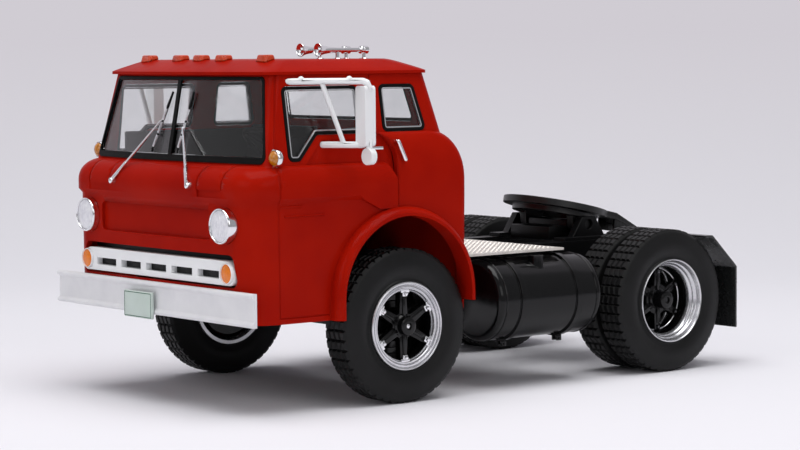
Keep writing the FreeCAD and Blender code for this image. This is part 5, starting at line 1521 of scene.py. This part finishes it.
RIM_SECTIONS = {
    Dish.SHALLOW: RimSection(
        lip=((6.6, 2.62), (6.92, 2.66), (6.97, 2.82), (6.9, 2.95), (6.77, 3.0)),
        face=((6.64, 2.95), (6.58, 2.72), (6.48, 2.7), (6.42, 2.86), (6.2, 2.88), (6.14, 2.8), (6.09, 2.52),
              (5.99, 2.5), (5.92, 2.62), (5.76, 2.62), (5.67, 2.5), (5.6, 2.2), (5.57, 1.9), (5.7, 1.8)),
        wall=((5.6, 1.86), (5.5, 1.84), (5.46, 1.7), (5.46, -2.4), (5.85, -2.6), (5.85, 1.7)),
        ring=((5.58, 2.1), (5.5, 2.12), (5.45, 2.04), (5.45, 1.94), (5.5, 1.86), (5.58, 1.88))),
    Dish.DEEP: RimSection(
        lip=((6.8, 2.62), (7.06, 2.66), (7.12, 2.82), (7.07, 2.95), (6.97, 3.0)),
        face=((6.88, 2.92), (6.82, 2.74), (6.6, 2.28), (6.56, 2.14), (6.49, 2.06), (6.42, 2.02), (6.22, 1.58),
              (6.18, 1.44), (6.11, 1.36), (6.04, 1.32), (5.85, 0.86), (5.8, 0.6), (5.8, 0.4), (6.0, 0.3)),
        wall=((5.83, 0.62), (5.74, 0.56), (5.66, 0.3), (5.3, -0.84), (5.3, -1.2), (5.5, -2.6), (5.85, -2.6)),
        ring=((5.36, -0.86), (5.24, -0.84), (5.16, -0.92), (5.16, -1.06), (5.24, -1.14), (5.36, -1.12))),
}


@dataclass
class Rim:
    """One rolled rim: a lip, concentric rings or steps, and a barrel."""

    centre: Triple
    section: RimSection

    def add_to(self, shape: Shape) -> None:
        """Build the rim.

        Args:
            shape: The mesh that it is added to.
        """
        profile = self.section.lip + self.section.face + self.section.back
        shape.turned(profile, self.centre, LEFTWARD, 96, closed=True)

    def liner(self, casting: Shape, metal: Shape) -> None:
        """Add the dark inner wall of the outer rim and the thin bright ring along it.

        Args:
            casting: The mesh that takes the dark wall.
            metal: The mesh that takes the bright ring.
        """
        casting.turned(self.section.wall, self.centre, LEFTWARD, 96, closed=True)
        metal.turned(self.section.ring, self.centre, LEFTWARD, 96, closed=True)


@dataclass(frozen=True)
class HubSize:
    """What sets a front and a rear hub apart."""

    face_drop: float
    barrel: float
    drum_depth: float
    tip: float


@dataclass
class Hub:
    """A cast hub: drum, barrel, six ridged spokes, a dimpled cap and bolted clamps."""

    x: float
    z: float
    inner_y: float
    cap_y: float
    size: HubSize
    spokes: int = 6
    root_width: float = 1.75
    tip_width: float = 1.25
    thickness: float = 1.3
    spoke_start: float = 1.0
    spoke_round: float = 0.16
    rib_end: float = 1.15
    rib_widths: Pair = (0.62, 0.42)
    rib_sink: float = 0.1
    rib_height: float = 0.26
    rib_round: float = 0.08
    base_steps: Outline = ((-0.2, 0), (0, 0.2))
    drum_steps: Outline = ((0, -0.15), (-0.15, 0), (-0.9, 0), (-1.05, -0.25), (-1.8, -0.25), (-1.95, 0))
    foot_steps: Outline = ((0.5, 0.15), (0.15, 0.5), (0, 0.9))
    shoulder_steps: Outline = ((0, -0.3), (-0.12, -0.08), (-0.3, 0))
    cap_radius: float = 1.5
    collar_steps: Outline = ((0.25, 0), (0.1, 0.12), (0, 0.25))
    cap_steps: Outline = ((0, -0.3), (-0.08, -0.1), (-0.28, 0))
    dimple_steps: Outline = ((0.62, 0), (0.55, -0.05), (0.5, -0.3), (0, -0.34))
    lug_corners: tuple[Triple, Triple] = ((-1.0, -0.05, -0.48), (-0.1, 0.4, 0.48))
    lug_round: float = 0.12
    bar_corners: tuple[Triple, Triple] = ((-0.42, 0.1, -0.86), (0.3, 0.5, 0.86))
    bar_round: float = 0.13
    nut_inset: float = 0.55
    nut_radius: float = 0.31
    nut_round: float = 0.05
    clamp_nut_ends: Pair = (0.3, 0.8)
    bolt_radius: float = 0.3
    bolt_ends: Pair = (-0.1, 0.35)
    # The bright dome in the cap's dimple is a painted highlight.
    pin_radius: float = 0.4
    pin_sink: float = 0.12
    pin_section: Outline = ((0, 0), (0.5, -0.02), (0.85, -0.08), (1, -0.2), (1, -0.5), (0, -0.5))

    @property
    def face_y(self) -> float:
        """The outer face of the barrel and the spokes."""
        return self.cap_y - self.size.face_drop

    def turned(self, shape: Shape, verts: Sequence[bmesh.types.BMVert], index: int) -> None:
        """Turn one spoke's pieces from straight forward to their place.

        Args:
            shape: The mesh that they belong to.
            verts: Their vertices.
            index: The spoke's number.
        """
        angle = QUARTER_TURN + FULL_TURN * index / self.spokes
        bmesh.ops.rotate(shape.bm, cent=(self.x, 0, self.z), matrix=Matrix.Rotation(angle, 3, "Y"),
                         verts=list(verts))

    def core(self, shape: Shape) -> None:
        """Add the drum, the barrel and the cap, turned in one.

        Args:
            shape: The mesh that they are added to.
        """
        tip, barrel, cap, face_y = self.size.tip, self.size.barrel, self.cap_radius, self.face_y
        drum_y = self.inner_y + self.size.drum_depth
        profile = [(0, self.inner_y)]
        for start, steps in (((tip, self.inner_y), self.base_steps), ((tip, drum_y), self.drum_steps),
                             ((barrel, drum_y), self.foot_steps), ((barrel, face_y), self.shoulder_steps),
                             ((cap, face_y), self.collar_steps), ((cap, self.cap_y), self.cap_steps),
                             ((0, self.cap_y), self.dimple_steps)):
            profile += stepped(start, steps)
        shape.turned(profile, (self.x, 0, self.z), LEFTWARD, 72)

    def spoke(self, shape: Shape, index: int) -> None:
        """Add one spoke with a rib down its middle.

        Args:
            shape: The mesh that it is added to.
            index: The spoke's number.
        """
        start, tip, z = self.x + self.spoke_start, self.x + self.size.tip, self.z
        for end, (root, narrow), foot_y, rise, bevel in (
                (tip, (self.root_width, self.tip_width), self.face_y - self.thickness, self.thickness,
                 self.spoke_round),
                (tip - self.rib_end, self.rib_widths, self.face_y - self.rib_sink, self.rib_height,
                 self.rib_round)):
            outline = ((start, foot_y, z - root / 2), (end, foot_y, z - narrow / 2),
                       (end, foot_y, z + narrow / 2), (start, foot_y, z + root / 2))
            self.turned(shape, shape.prism(outline, (0, rise, 0), bevel), index)

    def nut(self, shape: Shape, index: int, radius: float, ends: Pair) -> None:
        """Add the six-sided nut near one spoke's tip.

        Args:
            shape: The mesh that it is added to.
            index: The spoke's number.
            radius: The nut's radius.
            ends: Its two ends, counted from the hub's face.
        """
        x = self.x + self.size.tip - self.nut_inset
        start, end = ((x, self.face_y + end, self.z) for end in ends)
        self.turned(shape, shape.rod(start, end, radius, sides=6, bevel=self.nut_round), index)

    def clamp(self, shape: Shape, index: int) -> None:
        """Add the clamp on one spoke's tip.

        Args:
            shape: The mesh that it is added to.
            index: The spoke's number.
        """
        tip = (self.x + self.size.tip, self.face_y, self.z)
        for corners, bevel in ((self.lug_corners, self.lug_round), (self.bar_corners, self.bar_round)):
            low, high = (tuple(a + b for a, b in zip(tip, corner)) for corner in corners)
            self.turned(shape, shape.block(low, high, bevel), index)
        self.nut(shape, index, self.nut_radius, self.clamp_nut_ends)

    def pin_end(self, shape: Shape) -> None:
        """Add a bright dome in the cap's dimple, a painted highlight standing for the glint on the cap.

        Args:
            shape: The mesh that it is added to.
        """
        # The bright dome paints the glint in the cap's dimple.
        centre = (self.x, self.cap_y - self.pin_sink, self.z)
        shape.turned(swelled(self.pin_radius, self.pin_section), centre, LEFTWARD, 32)

    def fasten(self, shape: Shape, dish: Dish) -> None:
        """Add the clamps and the bright dimple dome, a painted highlight, of a front hub, or the nuts of a
        rear one.

        Args:
            shape: The mesh that they are added to.
            dish: The kind of rim that the hub carries.
        """
        for index in range(self.spokes):
            if dish is Dish.SHALLOW:
                self.clamp(shape, index)
            else:
                self.nut(shape, index, self.bolt_radius, self.bolt_ends)
        # The bright dome in the dimple is a painted highlight.
        if dish is Dish.SHALLOW:
            self.pin_end(shape)


@dataclass
class Tyre:
    """One tyre with smooth walls and rows of small tread blocks."""

    x: float
    y: float
    radius: float = DRIVE.tyre_radius
    bead_radius: float = 6.8
    wall_steps: Outline = ((0, 2.5), (0.2, 2.66), (0.4, 2.7), (0.6, 2.52), (0.82, 2.52), (1.4, 2.78),
                           (2.0, 2.91), (2.5, 2.95), (3.0, 2.92), (3.6, 2.82), (4.2, 2.68), (4.6, 2.58))
    shoulder_drop: float = 0.12
    shoulder_half: float = 2.52
    tread_half: float = 2.42
    rows: int = 48
    columns: int = 4
    block_height: float = 0.4
    groove: float = 0.24
    stagger: float = 0.22
    slack: float = 0.02
    still_edge: float = 0.1

    @property
    def floor(self) -> float:
        """The radius at the bottom of the grooves."""
        return self.radius - self.block_height

    def wall(self, sign: int) -> list[Pair]:
        """The wall's profile from the bead to the shoulder.

        Args:
            sign: 1 for the outer wall and -1 for the inner one.

        Returns:
            Points as radius and place across the tyre.
        """
        points = stepped((self.bead_radius, 0), self.wall_steps)
        points += [(self.floor - self.shoulder_drop, self.shoulder_half), (self.floor, self.tread_half)]
        return [(r, sign * a) for r, a in points]

    def add_to(self, shape: Shape) -> None:
        """Build the tyre.

        Args:
            shape: The mesh that it is added to.
        """
        pitch = 2 * self.tread_half / self.columns
        tread = [(self.floor, -self.tread_half + pitch * step) for step in range(1, self.columns)]
        profile = self.wall(-1) + tread + list(reversed(self.wall(1)))
        verts = shape.turned(profile, (self.x, self.y, self.radius), LEFTWARD, self.rows, closed=True)
        high = {v for v in verts
                if math.hypot(v.co.x - self.x, v.co.z - self.radius) > self.floor - self.slack}
        for vert in high:
            if abs(vert.co.y - self.y) < self.tread_half - self.still_edge:
                angle = math.atan2(vert.co.z - self.radius, vert.co.x - self.x)
                row = round(angle / FULL_TURN * self.rows)
                vert.co.y += self.stagger * (1 if row % 2 else -1)
        faces = [f for f in {f for v in high for f in v.link_faces} if all(v in high for v in f.verts)]
        bmesh.ops.inset_individual(shape.bm, faces=faces, thickness=self.groove,
                                   depth=self.block_height - self.slack, use_even_offset=True)


@dataclass
class Wheel(Assembly):
    """A wheel set on one hub: tyres, rims and hub."""

    body: Body
    side: Side
    dish: Dish
    x: float
    tyre_ys: tuple[float, ...]
    hub_size: HubSize
    rubber: Rubber
    fastening: Finish
    rim_sharp: float = 40.0
    hub_sharp: float = 32.0

    def build(self) -> None:
        """Make the set."""
        axle, word, z = self.dish.value, self.side.word, DRIVE.tyre_radius
        plural = "s" if len(self.tyre_ys) > 1 else ""
        tyre_node, rim_node = (f"{axle}_{part}{plural}_{word}" for part in ("tyre", "rim"))
        tyres, rims, casting, fastenings = Shape(), Shape(), Shape(), Shape()
        for y in self.tyre_ys:
            Tyre(self.x, y).add_to(tyres)
            rim = Rim((self.x, y, z), RIM_SECTIONS[self.dish])
            rim.add_to(rims)
            if y == max(self.tyre_ys):
                rim.liner(casting, rims)
        low, high = self.shop.box(f"{axle}_hub_left")
        hub = Hub(self.x, z, low.y, high.y, self.hub_size)
        hub.core(casting)
        for index in range(hub.spokes):
            hub.spoke(casting, index)
        hub.fasten(fastenings, self.dish)
        hub_node = f"{axle}_hub_{word}"
        for name, shape, finish, slot, replaces, sharp in (
                (f"{tyre_node}_treaded", tyres, self.rubber, "tyre_rubber", (tyre_node,), self.rim_sharp),
                (f"{rim_node}_rolled", rims, Palette.rim, "bright_metal", (rim_node,), self.rim_sharp),
                (f"{hub_node}_cast", casting, Palette.hub, "black_moulding", (hub_node,), self.hub_sharp),
                (f"{axle}_clamps_{word}", fastenings, self.fastening, "bright_metal", (), self.hub_sharp)):
            self.shop.place(name, shape.flipped(self.side), finish, slot, replaces, sharp, self.body)


@dataclass
class Running(Assembly):
    """All four wheel sets."""

    front_hub: HubSize = HubSize(face_drop=1.4, barrel=2.2, drum_depth=1.6, tip=5.6)
    rear_hub: HubSize = HubSize(face_drop=2.4, barrel=2.7, drum_depth=5.6, tip=5.3)

    def build(self) -> None:
        """Make the wheels of both axles on both sides."""
        front_x, rear_x = DRIVE.front_axle_x, DRIVE.front_axle_x - DRIVE.wheelbase
        for side, front, rear in ((Side.LEFT, Body.FRONT_LEFT, Body.REAR_LEFT),
                                  (Side.RIGHT, Body.FRONT_RIGHT, Body.REAR_RIGHT)):
            Wheel(self.shop, front, side, Dish.SHALLOW, front_x, (DRIVE.front_tyre_y,), self.front_hub,
                  Palette.front_rubber, Palette.chrome).build()
            Wheel(self.shop, rear, side, Dish.DEEP, rear_x, (DRIVE.inner_tyre_y, DRIVE.outer_tyre_y),
                  self.rear_hub, Palette.rear_rubber, Palette.dark_nut).build()


# Studio


@dataclass(frozen=True)
class Lamp:
    """One soft light: where it hangs, what it points at, its width and height, and its watts."""

    name: str
    place: Triple
    target: Triple
    size: Pair
    power: float

    def hang(self) -> None:
        """Hang the light."""
        lamp = bpy.data.lights.new(self.name, "AREA")
        lamp.shape = "RECTANGLE"
        lamp.size, lamp.size_y = (length * MM for length in self.size)
        lamp.energy = self.power
        thing = bpy.data.objects.new(self.name, lamp)
        thing.location = Vector(self.place) * MM
        thing.rotation_mode = "QUATERNION"
        thing.rotation_quaternion = (Vector(self.target) - Vector(self.place)).to_track_quat("-Z", "Y")
        bpy.context.scene.collection.objects.link(thing)


@dataclass
class Studio:
    """The pale sweep, the soft lights and the camera."""

    floor_colour: str = "E6E5EA"
    wall_colour: str = "D0CCD3"
    air_colour: str = "F3F2F6"
    camera_place: Triple = (260.483, 325.568, 55.214)
    camera_turn: Triple = (0.8979028, 0.07096012, -0.00745588)
    lens: float = 110.807
    sensor: float = 36.0
    view_reach: Pair = (20.0, 20000.0)
    world_strength: float = 0.38
    bend_start: float = 170.0
    bend_radius: float = 420.0
    bend_steps: int = 32
    sweep_front: float = 1400.0
    sweep_rise: float = 1500.0
    sweep_half: float = 2200.0
    fade_height: float = 60.0
    lamps: tuple[Lamp, ...] = (
        Lamp("top_light", (40, 60, 520), (0, 0, 20), (520, 420), 2.5),
        Lamp("front_light", (520, 20, 260), (30, 0, 30), (360, 300), 0.42),
        Lamp("side_light", (80, 560, 280), (0, 10, 25), (420, 260), 0.45),
    )

    def sweep(self) -> None:
        """Make the floor that curves up into the wall behind."""
        shape = Shape()
        bm = shape.bm
        toward = Vector((math.cos(self.camera_turn[0]), math.sin(self.camera_turn[0]), 0))
        across = Vector((-toward.y, toward.x, 0))
        line = [toward * self.sweep_front]
        for angle in (QUARTER_TURN * share for share in shares(self.bend_steps)):
            line.append(toward * (-self.bend_start - self.bend_radius * math.sin(angle))
                        + Vector(UPWARD) * self.bend_radius * (1 - math.cos(angle)))
        line.append(line[-1] + Vector(UPWARD) * self.sweep_rise)
        verts = [bm.verts.new(p - across * self.sweep_half) for p in line]
        edges = [bm.edges.new(pair) for pair in zip(verts, verts[1:])]
        made = bmesh.ops.extrude_edge_only(bm, edges=edges)
        moved = [g for g in made["geom"] if isinstance(g, bmesh.types.BMVert)]
        bmesh.ops.translate(bm, verts=moved, vec=across * self.sweep_half * 2)
        bmesh.ops.recalc_face_normals(bm, faces=bm.faces[:])
        bmesh.ops.scale(bm, vec=(MM, MM, MM), verts=bm.verts[:])
        for face in bm.faces:
            face.smooth = True
        mesh = bpy.data.meshes.new("studio_sweep")
        bm.to_mesh(mesh)
        bm.free()
        mesh.materials.append(self.paper())
        floor = bpy.data.objects.new("studio_sweep", mesh)
        bpy.context.scene.collection.objects.link(floor)

    def paper(self) -> bpy.types.Material:
        """The sweep's paper: lit and shadowed on the floor, an even pale tone on the wall.

        Returns:
            The material.
        """
        graph = Graph("studio_sweep_paper")
        height = graph.add("ShaderNodeSeparateXYZ", {0: graph.place}).outputs[2]
        share = graph.span(height, 0.0, 1.0, (0.0, self.fade_height * MM))
        tint = graph.mix(share, linear(self.floor_colour), linear(self.wall_colour))
        lit = graph.add("ShaderNodeBsdfDiffuse", {0: tint})
        even = graph.add("ShaderNodeEmission", {0: tint, 1: 1.0})
        path = graph.add("ShaderNodeLightPath")
        mirrored = graph.maths("MAXIMUM", path.outputs["Is Glossy Ray"], path.outputs["Is Transmission Ray"])
        seen = graph.maths("MAXIMUM", path.outputs["Is Camera Ray"], mirrored)
        blend = graph.add("ShaderNodeMixShader", {
            0: graph.maths("MULTIPLY", seen, share), 1: lit.outputs[0], 2: even.outputs[0]})
        graph.add("ShaderNodeOutputMaterial", {0: blend.outputs[0]})
        return graph.material

    def camera(self) -> None:
        """Set the camera at the photograph's viewpoint."""
        azimuth, elevation, roll = self.camera_turn
        level = Vector((math.cos(azimuth), math.sin(azimuth), 0))
        back = level * math.cos(elevation) + Vector(UPWARD) * math.sin(elevation)
        right = (-back).cross(Vector(UPWARD)).normalized()
        up = right.cross(-back)
        turned_right = right * math.cos(roll) + up * math.sin(roll)
        turned_up = -right * math.sin(roll) + up * math.cos(roll)
        data = bpy.data.cameras.new("camera")
        data.lens, data.sensor_width = self.lens, self.sensor
        data.clip_start, data.clip_end = (reach * MM for reach in self.view_reach)
        thing = bpy.data.objects.new("camera", data)
        matrix = Matrix((turned_right, turned_up, back)).transposed().to_4x4()
        matrix.translation = Vector(self.camera_place) * MM
        thing.matrix_world = matrix
        bpy.context.scene.collection.objects.link(thing)
        bpy.context.scene.camera = thing

    def build(self) -> None:
        """Make the studio."""
        scene = bpy.context.scene
        scene.view_settings.view_transform = "Standard"
        world = bpy.data.worlds.new("studio_air")
        scene.world = world
        world.use_nodes = True
        background = world.node_tree.nodes["Background"]
        background.inputs[0].default_value = linear(self.air_colour)
        background.inputs[1].default_value = self.world_strength
        self.sweep()
        for lamp in self.lamps:
            lamp.hang()
        self.camera()


def main() -> None:
    """Build every sub-assembly in order, then the studio, and note how many new pieces there are."""
    logging.basicConfig(level=logging.INFO, format="%(message)s")
    shop = Workshop()
    for assembly in (Cab, Nose, Furniture, Interior, Chassis, FifthWheel, Running):
        log.info("building %s", assembly.__name__)
        assembly(shop).build()
    Studio().build()
    log.info("%d new pieces", shop.count)


if __name__ == "__main__":
    main()
